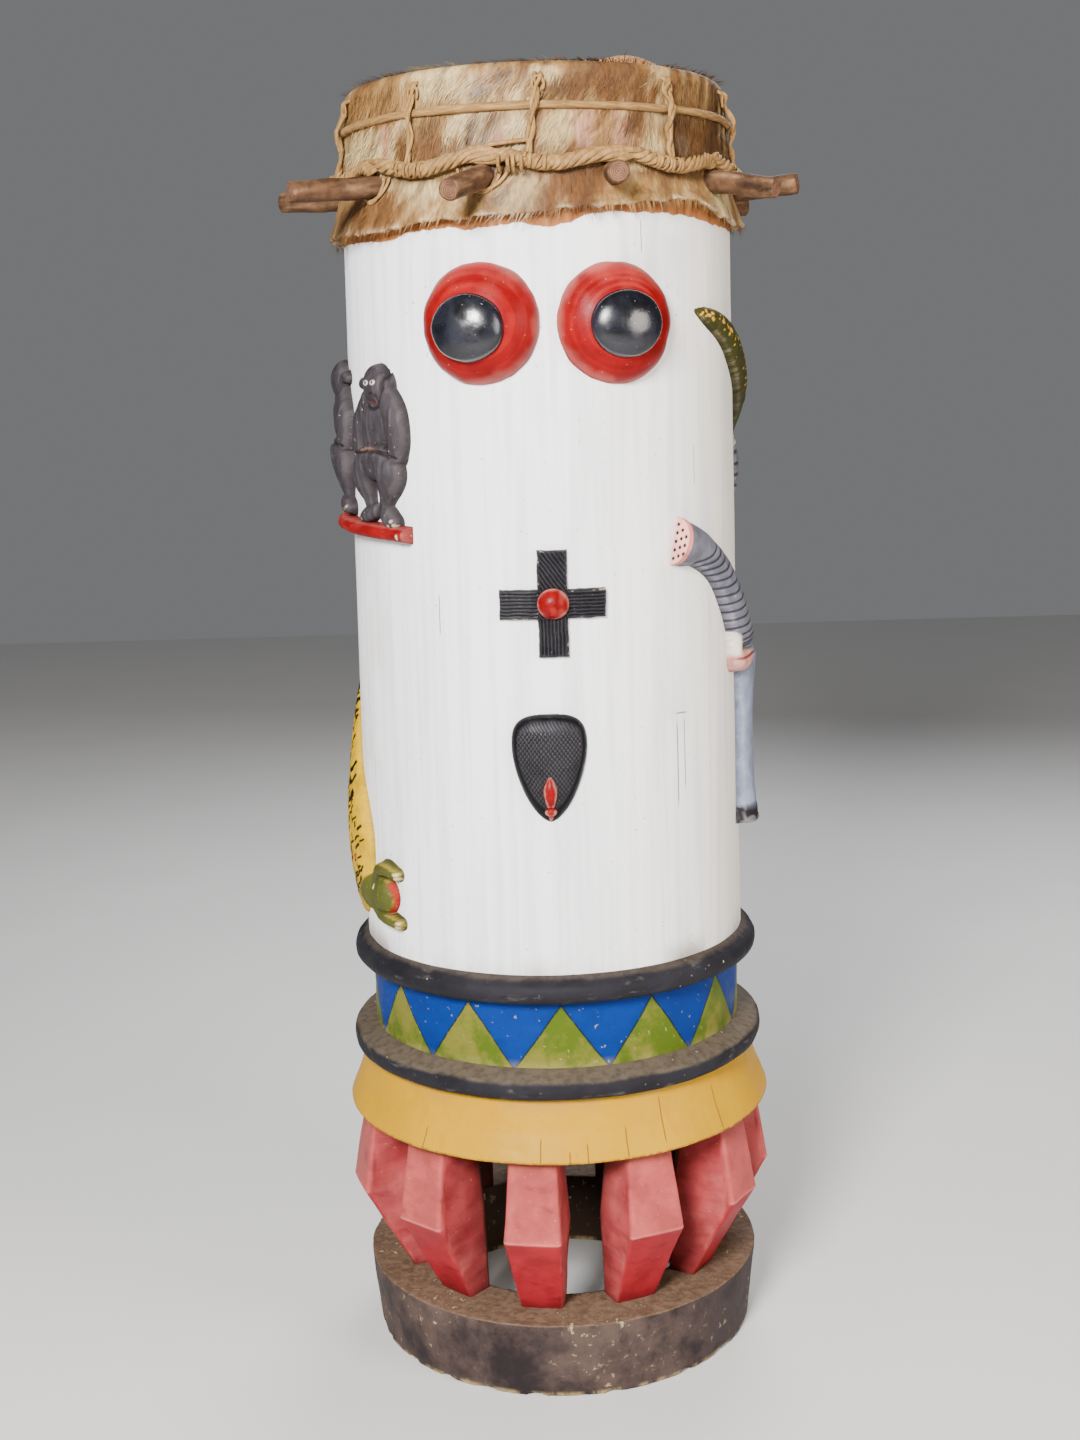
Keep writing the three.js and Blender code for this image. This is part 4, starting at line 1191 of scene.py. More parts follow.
def mouth_carving(paint):
    """The shield-shaped mouth, cross-hatched inside a smooth border, with its red spindle."""
    c = Carving(MM, -47, 47, -92, 42, 0.62)
    rise = c.y > 0
    length = np.where(rise, 36.0, 86.0)
    power = np.where(rise, 3.0, 1.6)
    size = ((np.abs(c.x) / 42) ** power + (np.abs(c.y) / length) ** power) ** (1 / power)
    c.height = 17 * np.sign(1 - size) * np.abs(1 - np.minimum(size, 2) ** 2.6) ** 0.55
    c.height = np.where(size > 1, -12 * (size - 1), c.height)
    c.colour[:] = SIGN_BLACK
    rough = noise(c.flat, 0.011, 341, 2)
    inner = 1 - ramp(size, 0.80, 0.86)
    first = np.sin((c.x * 0.86 + c.y * 0.62 + 0.7 * rough) * 2 * math.pi / MOUTH_PITCH)
    second = np.sin((c.x * 0.86 - c.y * 0.62 + 0.7 * rough) * 2 * math.pi / MOUTH_PITCH)
    lower = 1 - ramp(c.y + 2 * rough, 15, 20)
    hatch = np.maximum(ramp(first, 0.55, 1), ramp(second, 0.55, 1)) * inner * lower
    top_hatch = ramp(np.sin((c.x * 0.95 + c.y * 0.5) * 2 * math.pi / 3.6), 0.3, 1) * inner * (1 - lower)
    c.height = c.height - 0.9 * hatch - 0.4 * top_hatch
    # Painted highlight: the ridges between the hatching are lighter, below and in the upper band.
    ridge_highlight = (1 - hatch) * inner * lower
    c.tint(screen(88, 86, 91), ridge_highlight * 0.85)
    c.tint(screen(94, 92, 98), (1 - top_hatch) * inner * (1 - lower) * 0.7)
    step = ramp(size, 0.80, 0.84) * (1 - ramp(size, 0.84, 0.9))
    c.height = c.height - 0.4 * step
    look = carved_finish("mouth_paint", 0.4, (60, 60, 20), 60, 0.3 * MM, 0.12)
    level = painted_level(MOUTH_PLACE[1])
    c.piece("mouth_carving", MOUTH_PLACE[0], level, look, 347, 0.3 * MM, screen(128, 124, 124), 0)
    spindle = Carving(MM, -12, 12, -88, -28, 0.6)
    blade = [(0, -33, 14.5, 2), (0, -40, 15.5, 5), (0, -48, 15.5, 7.2), (0, -58, 14, 6), (0, -67, 11.5, 3.6)]
    spindle.ridge(blade, 0.9, paint.red, 0.6)
    spindle.lump((0, -73, 9.5), (6.5, 4.8, 5.5), 0, paint.red, 0.6)
    spindle.ridge([(0, -77, 7, 3.2), (0, -82, 4, 2)], 1.0, screen(176, 84, 80), 0.6)
    spindle.groove([(-6, -68), (6, -68)], 1.2, 0.9, screen(110, 36, 36))
    red_look = carved_finish("spindle_paint", 0.4, (40, 40, 20), 60, 0.25 * MM, 0.25)
    spindle.piece("mouth_spindle", MOUTH_PLACE[0], level, red_look, 353, 0.2 * MM)


# Animals, in hundredths of each one's own size

APE_HEIGHT = 0.186
APE_SHARE = 0.612
# Each ape's name, angle, lift, side, breadth and shift across
APES = [("front", -51.5, 0.0, 1, 0.8, -4.5), ("back", -82.5, 0.008, -1, 1.0, 0.0)]
PERCH_SHARE = 0.596
PERCH_ANGLES = (-40.0, -106.0)
LIZARD_HEIGHT = 0.290
LIZARD_PLACE = (-95, 0.04)
SNAKE_HEIGHT = 0.210
SNAKE_PLACE = (90, 0.665)
ELEPHANT_HEIGHT = 0.460
ELEPHANT_PLACE = (79, 0.158)
# The flat end of the trunk: its middle, the way it faces and its half sizes
SNOUT_PLACE = (-35.3, 76.7)
SNOUT_TURN = 166
SNOUT_HALVES = (5.9, 5.3)
SNOUT_SPOKES = 96


def ape(name, angle, lift, side, breadth, shift, look):
    """A standing ape with a peaked crown; the back one is turned the other way and plainer."""
    c = Carving(APE_HEIGHT / 100, -38, 42, -5, 105, 0.52)

    def flip(stations):
        return [(side * (breadth * x + shift), *rest) for x, *rest in stations]

    def lump(x, y, z, wide, high, deep, tilt=0, colour=APE_GREY, blend=0.8):
        c.lump((side * (breadth * x + shift), y, z), (breadth * wide, high, deep), side * tilt, colour, blend)

    lump(5, 60, 1, 20, 21, 9.5, -6)
    lump(6, 38, 2, 22, 13, 10)
    lump(5.6, 83, 1.5, 13.5, 12.5, 9.5, 8)
    lump(6.2, 89, 1, 9.4, 6.5, 6, 6)
    lump(14.5, 77, 1, 9, 12, 8, 10)
    lump(9.8, 81, 5, 11.5, 9.5, 6.2)
    for stations in (
        [(-8, 75, 2, 6), (-16, 60, 3, 7), (-17, 45, 4, 6), (-12, 40, 6, 4)],
        [(14, 79, 2, 7), (24, 66, 3, 8), (28, 50, 3, 7), (26, 40, 5, 5)],
        [(-10, 38, 3, 9), (-15, 28, 4, 7.8), (-12, 15, 2, 4.8), (-9, 6, 1, 4.2)],
        [(14, 38, 3, 11), (20, 28, 4, 9), (13, 15, 2, 5.4), (9, 7, 1, 4.6)],
        [(-5, 7, 1, 5), (-12, 5, 3, 5), (-18, 3, 4, 3.5)],
        [(10, 8, 1, 5.5), (15, 4, 3, 5.5), (21, 0, 4, 4)],
        [(-8, 82, 3, 3.2), (-13, 84.5, 3, 3.4), (-17, 83.5, 2, 3)],
    ):
        c.ridge(flip(stations), 1.0, APE_GREY, 0.8)
    dark = screen(40, 36, 38)
    # Painted shade: the carved lines between the limbs, across the waist and round the head are tinted near
    # black.
    for line in (
        [(-9, 74), (-7, 60), (-9, 46)],
        [(13, 76), (19, 62), (21, 46)],
        [(-20, 42), (-10, 43), (4, 43.5), (18, 43), (30, 39)],
        [(-4, 36), (-6, 26), (-4, 20)],
        [(8, 36), (9, 26), (7, 20)],
        [(18, 90), (19, 82), (17, 72)],
        [(2, 71), (9, 68.5), (16, 71)],
    ):
        c.groove(flip(line), 1.7, 1.5, dark, 0.7)
    if name == "front":
        c.groove(flip([(-9, 44.5), (2, 45.2), (12, 44.6)]), 1.6, 0.3, screen(150, 122, 104), 0.9)
        for x in (-1.2, 5.0):
            c.spot((x, 84.2), (2.2, 1.5), screen(232, 230, 226), raised=0.2)
            c.spot((x - 0.2, 84.3), (1.3, 1.2), INK)
        c.spot((3.0, 73.4), (3.0, 1.0), screen(116, 70, 64))
        c.groove([(0.8, 77.5), (3, 78.2), (5.2, 77.5)], 0.8, 0.5, dark)
    strands = noise(c.flat, (0.0035, 0.03, 1), 401, 2)
    c.height = c.height + 0.35 * strands * ramp(c.height, 1, 3)
    c.tint(screen(108, 103, 107), ramp(strands, 0.2, 0.9) * 0.5)
    for x, y in ((-19.5, 4.0), (-16.5, 2.2), (22.5, 1.5), (24.5, -1.0), (19.5, -1.4)):
        c.spot((side * (breadth * x + shift), y), (1.1, 1.0), screen(190, 178, 162))
    level = painted_level(APE_SHARE) + lift
    c.piece("ape_" + name, angle, level, look, 411 + side, 0.5 * MM, screen(124, 118, 118))


def perch(paint, look):
    """The red bar under the apes, square at its front end."""
    start, end = PERCH_ANGLES
    length = math.radians(start - end) * BODY_RADIUS / MM
    c = Carving(MM, -length - 12, 4, -12, 26, 1.0)
    share = np.clip(-c.x / length, 0, 1)
    middle = 13 * share ** 0.8
    half = 8.5
    bulk = half ** 2 - (c.y - middle) ** 2
    bar = 7 + 12 / half * np.sign(bulk) * np.sqrt(np.abs(bulk))
    c.height = np.where(c.x > 0, -3 * (c.x + 1), np.where(c.x < -length, 3 * (c.x + length), bar))
    tint = noise(c.flat, (0.03, 0.01, 1), 421, 3)
    c.colour[:] = paint.red
    c.tint(screen(176, 84, 82), ramp(tint, 0.0, 0.9) * 0.6)
    # Painted shade: the lower side of the bar is darker red.
    c.tint(screen(140, 44, 46), ramp(middle - c.y, 3, 8) * 0.5)
    c.spot((-8, -1), (1.6, 3.4), screen(232, 222, 214))
    c.piece("perch", start, painted_level(PERCH_SHARE), look, 431, 0.4 * MM, screen(196, 150, 140), 0.1)


def lizard(look):
    """The lizard climbing down, its head turned to the front."""
    c = Carving(LIZARD_HEIGHT / 100, -31, 68, -5, 103, 0.42)
    back = [
        (3, 100, -1, 1.5), (1, 86, 0, 7), (0, 68, 0, 14.5), (7, 51, 0, 18), (18, 34, 0, 20),
        (21, 19, 0, 16.5), (20, 7, 0, 9.5),
    ]
    c.lump((29, 12, 0), (19, 9, 4.5), -8, LIZARD_OLIVE, 0.5)
    c.ridge(back, 0.36, LIZARD_YELLOW, 0.5)
    for stations in (
        [(43, 15, 0, 3), (47, 21.5, 1.5, 2.8), (53, 24.2, 2.5, 2.7), (61, 22.8, 1.5, 2.4)],
        [(40, 9, 0, 3), (47, 5.8, 1.5, 2.9), (54, 4, 2.5, 2.7), (62, 2.6, 1.5, 2.4)],
        [(-6, 74, 0, 4), (-16, 84, 2, 3.6), (-23, 80, 1, 3)],
        [(-8, 56, 0, 4), (-20, 52, 2, 3.6), (-25, 44, 1, 3)],
    ):
        c.ridge(stations, 1.0, LIZARD_OLIVE, 0.5)
    c.lump((52.5, 13, 0.5), (8.2, 7.8, 6), -20, LIZARD_OLIVE, 0.5)
    c.groove([(57.2, 18.6), (60.2, 14.5), (60, 9.6), (57.2, 6.6)], 1.2, 0.8, screen(184, 60, 58), 0.95)
    c.spot((48.2, 16.2), (1.2, 1.1), screen(224, 220, 206), raised=0.4)
    c.spot((48.2, 16.2), (0.6, 0.6), INK)
    rng = np.random.default_rng(43)
    for place in spline(back, 40)[3:]:
        for _ in range(3):
            x = place[0] + rng.uniform(0.0, 0.75) * place[3]
            y = place[1] + rng.uniform(-1, 1)
            lean = rng.uniform(0.4, 1.2) if rng.random() < 0.7 else rng.uniform(1.9, 2.6)
            reach = rng.uniform(1.6, 3.4)
            line = [(x, y), (x + reach * math.cos(lean), y + reach * math.sin(lean))]
            c.stroke(line, rng.uniform(0.45, 0.8), screen(40, 38, 30))
    for x, y in ((14, 58), (17, 53), (12, 49.5), (19, 46)):
        c.stroke([(x, y), (x + 2.4, y + 1.4), (x + 4.2, y + 4.2)], 1.0, screen(34, 34, 30))
    c.spot((29, 24), (1.2, 1.2), screen(206, 96, 90))
    for x, y in ((62.0, 23.6), (62.4, 21.8), (62.8, 3.4), (62.6, 1.6)):
        c.spot((x, y), (1.2, 0.7), screen(200, 188, 164))
    angle, share = LIZARD_PLACE
    c.piece("lizard", angle, painted_level(share), look, 441, 0.5 * MM, screen(232, 206, 120), 0.1)


def snake(look):
    """The snake, its tail tip to the front and its body looped round to the back."""
    c = Carving(SNAKE_HEIGHT / 100, -80, 95, -24, 94, 0.55)
    body = [
        (-77, 86, 0, 1.5), (-66, 83, 1, 5), (-48, 76, 1, 7.5), (-24, 61, 1, 9), (3, 43, 1, 9.5),
        (24, 28, 1, 9), (38, 8, 0.5, 8), (52, -10, 0.5, 7.5), (74, -8, 0.5, 8), (84, 14, 0.5, 8),
        (76, 36, 0.5, 6.5), (62, 50, 1, 6),
    ]
    c.ridge(body, 0.8, SNAKE_GREEN, 0.6)
    c.lump((55, 58, 1), (8, 12, 8), 35, SNAKE_GREEN, 0.6)
    rng = np.random.default_rng(47)
    for place in spline(body, 64)[2:]:
        for _ in range(2):
            x, y = place[:2] + rng.normal(0, 0.4, 2) * place[3]
            size = rng.uniform(0.6, 1.0)
            c.spot((x, y), (size, 0.7 * size), screen(206, 176, 74), rng.uniform(0, 180))
    for x, y in ((-70, 84), (-58, 80.5), (-50, 77)):
        c.spot((x, y), (1.7, 0.8), screen(206, 164, 120), -15)
    for x in (49, 58):
        c.spot((x, 63), (1.6, 1.6), screen(226, 222, 210))
        c.spot((x, 63), (0.7, 0.7), INK)
    angle, share = SNAKE_PLACE
    c.piece("snake", angle, painted_level(share), look, 451, 0.5 * MM, screen(204, 196, 176), 0.08)


def elephant(look):
    """The elephant on its front leg, with its ringed trunk raised to the front."""
    c = Carving(ELEPHANT_HEIGHT / 100, -41, 66, -7, 101, 0.32)
    trunk = [
        (-33, 76, 0, 5.6), (-28, 74.5, 0.2, 4.7), (-19.5, 69, 0.3, 4.2), (-12, 60.5, 0.5, 4.6),
        (-6, 52, 0.6, 5), (-1, 49, 0, 5),
    ]
    c.lump((30, 44, -1), (24, 17, 6.2), 0, TRUNK_GREY, 0.6)
    c.lump((9, 52, -1.5), (10, 11, 5), 12, TRUNK_GREY, 0.6)
    c.lump((22, 90, 0), (7, 13, 4), 30, TRUNK_GREY, 0.4)
    c.ridge([(0, 44, 0, 5.2), (0, 30, 0, 4.2), (0, 14, 0, 4.4), (0, 3.5, 0, 4.8)], 1.0, LEG_BLUE_GREY, 0.4)
    c.ridge([(47, 38, 0, 6.5), (50, 20, 0, 5), (50, 3.5, 0, 5)], 0.9, LEG_BLUE_GREY, 0.4)
    c.ridge([(54, 50, 0, 2), (60, 40, 0.5, 1.6), (60, 28, 0.5, 2.4)], 1.0, TRUNK_GREY, 0.4)
    for x in (0, 50):
        c.ridge([(x, 3.2, 0, 4.9), (x, 0.4, 0, 5.2)], 1.03, screen(60, 58, 62), 0.3)
        for claw in (-3.2, 0, 3.2):
            c.spot((x + claw, 0.9), (1.2, 0.9), screen(130, 126, 126), raised=0.2)
    c.ridge(trunk, 0.95, TRUNK_GREY, 0.4)
    tip = np.array([math.cos(math.radians(SNOUT_TURN)), math.sin(math.radians(SNOUT_TURN))])
    out = (c.x - SNOUT_PLACE[0]) * tip[0] + (c.y - SNOUT_PLACE[1]) * tip[1]
    c.height = np.where(out > -0.9, np.minimum(c.height, 4.6 - 14 * (out + 0.9)), c.height)
    for station in spline(trunk, 64)[15:60:3]:
        ahead = np.array([0.55, -0.83])
        middle = station[:2]
        half = station[3] * 1.1
        across = np.array([-ahead[1], ahead[0]])
        arc = [middle - across * half, middle + ahead * 1.3, middle + across * half]
        c.groove(arc, 0.6, 0.3, screen(38, 48, 78), 0.9)
    c.ridge([(-9.5, 51, 0.5, 2.6), (-9, 46, 1, 2.2)], 1.1, TUSK_WHITE, 0.3)
    c.ridge([(-8.5, 44, 1, 3), (-2, 44, 1, 3.4), (4, 46, 1, 3)], 1.1, screen(214, 170, 160), 0.3)
    c.groove([(-11, 44.6), (-3, 44.8), (5, 46.6)], 0.6, 0.5, screen(170, 66, 60), 0.9)
    # Painted shade: the carved folds of the ear are tinted dark grey.
    for rise in range(-10, 12, 3):
        fold = [(14 - 0.2 * rise, 88 + rise), (30 - 0.5 * rise, 91 + rise)]
        c.groove(fold, 0.8, 0.4, screen(60, 60, 68), 0.85)
    c.groove([(13, 98), (20, 102), (28, 96), (31, 84)], 0.7, -0.3, screen(206, 200, 190), 0.8)
    c.spot((13, 57), (1.6, 1.2), screen(224, 220, 210), raised=0.3)
    c.spot((13, 57), (0.7, 0.8), INK)
    c.height = np.where(c.y < 0, -2 * SINK / c.scale, c.height)
    angle, share = ELEPHANT_PLACE
    c.piece("elephant", angle, painted_level(share), look, 461, 0.5 * MM, screen(196, 194, 196), 0.12)


def snout_end(look):
    """The flat pink end of the elephant's trunk, with rows of dark dots."""
    share = np.concatenate([[1.0], np.linspace(1.0, 0.02, 26)])[:, None]
    turn = once_round(SNOUT_SPOKES)
    across = SNOUT_HALVES[0] * share * np.cos(turn)
    rise = SNOUT_HALVES[1] * share * np.sin(turn)
    back = np.zeros_like(across)
    back[0] = -1.2
    lean = math.radians(SNOUT_TURN)
    x = SNOUT_PLACE[0] + (back - 0.05 * rise) * math.cos(lean) - across * math.sin(lean)
    y = SNOUT_PLACE[1] + (back - 0.05 * rise) * math.sin(lean) + across * math.cos(lean)
    colour = np.broadcast_to(SNOUT_PINK, x.shape + (3,))
    for row, first in ((0.9, -4.4), (2.5, -3.5), (4.0, -2.4)):
        for place in np.arange(first, 4.6 - 0.4 * row, 2.1):
            gap = np.hypot(across - place - 0.3 * row, rise - row)
            colour = blend_colours(colour, INK, 1 - ramp(gap, 0.38, 0.58))
    rim = ramp(np.broadcast_to(share, x.shape), 0.93, 1.0)
    colour = blend_colours(colour, screen(206, 132, 124), rim * 0.6)
    points = np.stack([x, y, rise], axis=-1) * (ELEPHANT_HEIGHT / 100)
    points = np.vstack([points.reshape(-1, 3), points[-1].mean(axis=0)])
    colours = np.vstack([colour.reshape(-1, 3), colour[-1, 0]])
    faces = grid_faces(len(share), SNOUT_SPOKES)
    cap = fan(len(points) - 1, SNOUT_SPOKES)
    angle, height_share = ELEPHANT_PLACE
    shape = Shape()
    shape.add(wrapped(points, angle, painted_level(height_share)), faces, cap, colour=colours)
    shape.log_piece("elephant_snout", look, sharp=50)


# The hide

TONES = {
    "cream": screen(206, 188, 150),
    "tan": screen(170, 140, 98),
    "brown": screen(134, 100, 62),
    "dark": screen(108, 84, 60),
    "bare": screen(188, 152, 130),
    "grey": screen(142, 126, 106),
}

# Patches on the hide: angle, level below the top in millimetres, half widths, lean, tone
HIDE_PATCHES = [
    (-52, 26, 18, 24, 0, "tan"), (-24, 22, 9, 19, 20, "cream"), (-14, 26, 4, 9, 30, "grey"),
    (-5, 34, 4, 16, 25, "cream"), (4, 14, 5, 9, 10, "cream"), (-8, 14, 4, 8, 20, "dark"),
    (26, 26, 26, 16, 0, "brown"), (58, 24, 14, 20, 0, "tan"), (-36, 78, 6, 25, 18, "brown"),
    (-46, 78, 2.5, 24, 0, "bare"), (-26, 84, 6, 22, 22, "brown"), (-21, 60, 4, 16, 28, "cream"),
    (-14, 68, 6, 20, 26, "dark"), (-5, 76, 5, 24, 15, "cream"), (-10, 84, 3, 18, 10, "bare"),
    (7, 72, 6, 24, 10, "cream"), (14, 72, 5, 24, -6, "bare"), (24, 72, 5, 22, 8, "bare"),
    (19, 76, 3, 24, 6, "tan"), (33, 62, 7, 12, 20, "brown"), (34, 90, 6, 14, 0, "cream"),
    (58, 66, 15, 26, 0, "brown"), (46, 84, 3.5, 12, -25, "grey"), (-50, 142, 16, 20, 0, "brown"),
    (-30, 132, 6, 18, 8, "cream"), (-20, 140, 8, 16, 0, "tan"), (-6, 138, 9, 14, 0, "grey"),
    (10, 132, 10, 16, 0, "brown"), (28, 136, 9, 12, 0, "tan"), (46, 136, 10, 12, 0, "tan"),
    (112, 60, 26, 40, 10, "brown"), (170, 30, 24, 30, 0, "cream"), (-150, 90, 22, 34, -8, "dark"),
    (-108, 50, 16, 34, 0, "tan"), (146, 120, 18, 22, 0, "cream"), (-120, 130, 20, 16, 0, "tan"),
]


def hide_colour(turn, drop):
    """The coat's colour at an angle and a distance down (or in) from the upper edge."""
    spot = around(turn, RIM_RADIUS, -np.asarray(drop))
    broad = noise(spot, (0.09, 0.09, 0.07), 501, 3)
    fine = noise(spot, (0.012, 0.012, 0.05), 511, 3)
    colour = layered(
        np.broadcast_to(TONES["tan"], spot.shape),
        (TONES["brown"], ramp(broad + 0.4 * fine, -0.1, 0.6)),
        (TONES["cream"], ramp(-broad + 0.4 * fine, 0.35, 0.9)),
    )
    wander = 0.45 * noise(spot, 0.03, 521, 3)
    for angle, middle, half_angle, half_height, lean, tone in HIDE_PATCHES:
        away = (np.degrees(turn) - angle + 180) % 360 - 180
        down = drop / MM - middle
        away = away + down * math.tan(math.radians(lean)) * 0.24
        reach = np.hypot(away / half_angle, down / half_height) + wander + 0.25 * fine
        colour = blend_colours(colour, TONES[tone], 0.85 - 0.85 * ramp(reach, 0.6, 1.15))
    down, arc = np.broadcast_arrays(np.asarray(drop), turn * RIM_RADIUS)
    lock = noise(np.stack([arc + 0.45 * down, 0.24 * down, 0 * down], axis=-1), 0.013, 527, 4)
    hairy = 1 - bareness(colour)
    return layered(
        colour,
        (TONES["dark"], ramp(lock, 0.1, 0.9) * 0.6 * hairy),
        (TONES["cream"], ramp(-lock, 0.2, 0.9) * 0.5 * hairy),
        (TONES["dark"], ramp(fine, 0.5, 1.2) * 0.35),
    )


def bareness(colour):
    """1 where the coat is the bare tone."""
    gap = np.linalg.norm(colour - np.array(TONES["bare"]), axis=-1)
    return 1 - ramp(gap, 0.03, 0.12)


def skin_bend(radius, level, turn):
    """Folds of the skirt, the pinch of the rope and the ragged hem."""
    outer = ramp(radius - side_radius(level), 0.001, 0.005)
    drop = HIDE_TOP - level
    spot = around(turn, BODY_RADIUS, level)
    side = outer * ramp(drop, 0.002, 0.02)
    folds = 1.3 * MM * noise(spot, (0.035, 0.035, 0.12), 531, 3) * side
    pleats = 2.2 * MM * noise(spot, (0.022, 0.022, 0.09), 541, 2) * ramp(drop, 0.118, 0.15) * outer
    pinch = -1.4 * MM * np.exp(-((level - ROPE_LEVEL) / 0.009) ** 2) * outer
    hem = edge_level(HEM_POINTS, turn)
    nibbled = 2.4 * MM * noise(spot, 0.012, 551, 3)
    share = ramp(drop, 0.124, HIDE_TOP - HEM_LEVEL)
    curl = 2.5 * MM * ramp(noise(around(turn, BODY_RADIUS, 0), 0.03, 561, 2), 0.1, 0.9) * share * outer
    on_head = 1 - ramp(radius, RIM_RADIUS - 0.03, RIM_RADIUS - 0.01)
    top = ramp(level, HIDE_TOP - 0.006, HIDE_TOP - 0.001) * on_head
    sag = -1.6 * MM * top * (1 - (radius / RIM_RADIUS) ** 2) + 0.5 * MM * top * noise(spot, 0.05, 571, 2)
    return radius + folds + pleats + pinch + curl, level + share * (hem - HEM_LEVEL + nibbled) + sag


def hide_profile():
    return stepped(rounded([
        (SIDE_TOP_RADIUS + 0.0006, HEM_LEVEL + 0.022),
        (SIDE_TOP_RADIUS + 0.006, HEM_LEVEL + 0.004),
        (HEM_RADIUS - 0.001, HEM_LEVEL),
        (HEM_RADIUS + 0.0015, HEM_LEVEL + 0.002),
        (hide_outer(PEG_LEVEL) + 0.004, HEM_LEVEL + 0.022),
        (hide_outer(ROPE_LEVEL), ROPE_LEVEL - 0.006),
        (hide_outer(HOOP_LEVEL), HOOP_LEVEL),
        (RIM_RADIUS + HIDE_THICKNESS - 0.0005, HIDE_TOP),
        (0.001, HIDE_TOP),
    ], HIDE_EDGE, 7), 0.0045)


def hide_skin():
    """The skin itself, from the inside of the hem up the skirt and over the head."""
    points, faces = turned(hide_profile(), 340, skin_bend)
    turn = np.arctan2(points[..., 0], -points[..., 1])
    radius = np.hypot(points[..., 0], points[..., 1])
    drop = HIDE_TOP - points[..., 2] - np.maximum(RIM_RADIUS - HIDE_EDGE - radius, 0)
    colour = hide_colour(turn, drop)
    edge = 1 - ramp(points[..., 2] - edge_level(HEM_POINTS, turn), 0.001, 0.006)
    pale = edge * ramp(noise(points, 0.012, 581, 2), -0.2, 0.6)
    colour = blend_colours(colour, screen(222, 206, 182), pale * 0.7)
    rope_shade = np.exp(-((points[..., 2] - ROPE_LEVEL + 0.009) / 0.005) ** 2)
    colour = blend_colours(colour, screen(92, 64, 40), rope_shade * 0.55)
    shape = Shape()
    shape.add(points, faces, colour=colour)
    flap = np.radians(np.linspace(20, 40, 30))
    wave = np.linspace(0, math.pi, 30)
    path = around(flap, RIM_RADIUS - 0.006, HIDE_TOP + 0.0005 + 0.003 * np.sin(wave))
    wide = 0.0045 * np.sin(wave) + 0.0012
    swept(shape, path, around(flap, 1.0, 0.6), wide, 0.0009, 8, screen(176, 144, 112))
    shape.piece("hide_skin", skin_finish(), "hair_on_hide", "drumhead_hide")


def hide_hair(settings):
    """Short hairs as thin blades lying down the coat, bare patches left free."""
    rng = np.random.default_rng(settings.hair_seed)
    count = settings.hair_count
    on_top = rng.random(count) < 0.3
    turn = rng.uniform(-math.pi, math.pi, count)
    drop = rng.uniform(0.004, HIDE_TOP - HEM_LEVEL - 0.002, count)
    inward = np.sqrt(rng.random(count)) * RIM_RADIUS
    level = np.where(on_top, HIDE_TOP - 0.0004, HIDE_TOP - drop)
    outline = hide_profile()
    outline = outline[np.argmax(outline[:, 0]):]
    outline = outline[outline[:, 0] > RIM_RADIUS - 0.004]
    radius = np.where(on_top, inward, np.interp(level, outline[:, 1], outline[:, 0]))
    bent_radius, bent_level = skin_bend(radius, level, turn)
    coat = hide_colour(turn, np.where(on_top, radius - RIM_RADIUS + HIDE_EDGE, drop))
    keep = rng.random(count) > 0.93 * bareness(coat)
    turn, bent_radius, bent_level, coat, on_top = (
        values[keep] for values in (turn, bent_radius, bent_level, coat, on_top)
    )
    root = around(turn, bent_radius, bent_level)
    radial = around(turn, 1.0, 0.0)
    girth = around(turn + math.pi / 2, 1.0, 0.0)
    flow = noise(root, (0.07, 0.07, 0.06), 601, 2)
    slant = np.radians(14 + 26 * flow) + rng.normal(0, 0.16, len(turn))
    slant = slant + np.radians(18) * np.exp(-((np.degrees(turn) + 18) / 30) ** 2)
    falls = -np.cos(slant)[:, None] * UP - np.sin(slant)[:, None] * girth
    spread = np.cos(slant)[:, None] * radial - np.sin(slant)[:, None] * girth
    away = np.where(on_top[:, None], UP, radial)
    run = np.where(on_top[:, None], spread, falls)
    long = settings.hair_length * rng.uniform(0.55, 1.25, len(turn))[:, None]
    lift = rng.uniform(0.05, 0.16, len(turn))[:, None]
    stray = (rng.random(len(turn)) < 0.012)[:, None]
    lift = np.where(stray, lift * 3, lift)
    half = np.cross(run, away) * (settings.hair_width / 2) * rng.uniform(0.7, 1.3, len(turn))[:, None]
    start = root - away * 0.0003
    middle = root + run * long * 0.5 + away * long * lift
    tip = root + run * long + away * long * lift * 1.2
    points = np.stack([start - half, start + half, middle - 0.8 * half, middle + 0.8 * half, tip], axis=1)
    first = np.arange(len(turn))[:, None] * 5
    quads = first + np.array([0, 1, 3, 2])
    tips = first + np.array([2, 3, 4])
    shade = rng.uniform(0.72, 1.3, len(turn))[:, None]
    colour = np.repeat(coat * shade, 5, axis=0)
    shape = Shape()
    shape.add(points, quads, tips, colour=colour)
    shape.piece("hide_hair", hair_finish(), "hair_on_hide", "drumhead_hide")


# Lashing

# Where the short plaited strip starts and ends
PLAIT_ANGLES = (-10.5, -1.5)
# Pegs with strips of cane under them too, counted from 0
TIED_UNDER = (3, 6, 8, 9)
# How far each of those strips hangs below its peg, and how many degrees it reaches to each side
LOW_STRIPS = ((0.0012, 7), (0.0036, 5))


def peg_gap(angle):
    """Degrees from each angle to the nearest peg."""
    return np.abs((angle - PEG_FIRST_ANGLE + PEG_SPACING / 2) % PEG_SPACING - PEG_SPACING / 2)


def rope_level(angle):
    """The rope's height at angles in degrees: it lifts over each peg."""
    over = PEG_LEVEL + PEG_RADIUS + 0.7 * ROPE_RADIUS - ROPE_LEVEL
    share = np.maximum(0, 1 - peg_gap(angle) / (0.42 * PEG_SPACING))
    return ROPE_LEVEL + over * np.sin(share * math.pi / 2)


def near_peg(angle, reach):
    """1 at a peg, falling to 0 at reach degrees from it."""
    return 1 - ramp(peg_gap(angle), 0, reach)


def cane_tint(rng, cane):
    return np.array(cane) * rng.uniform(0.78, 1.12)


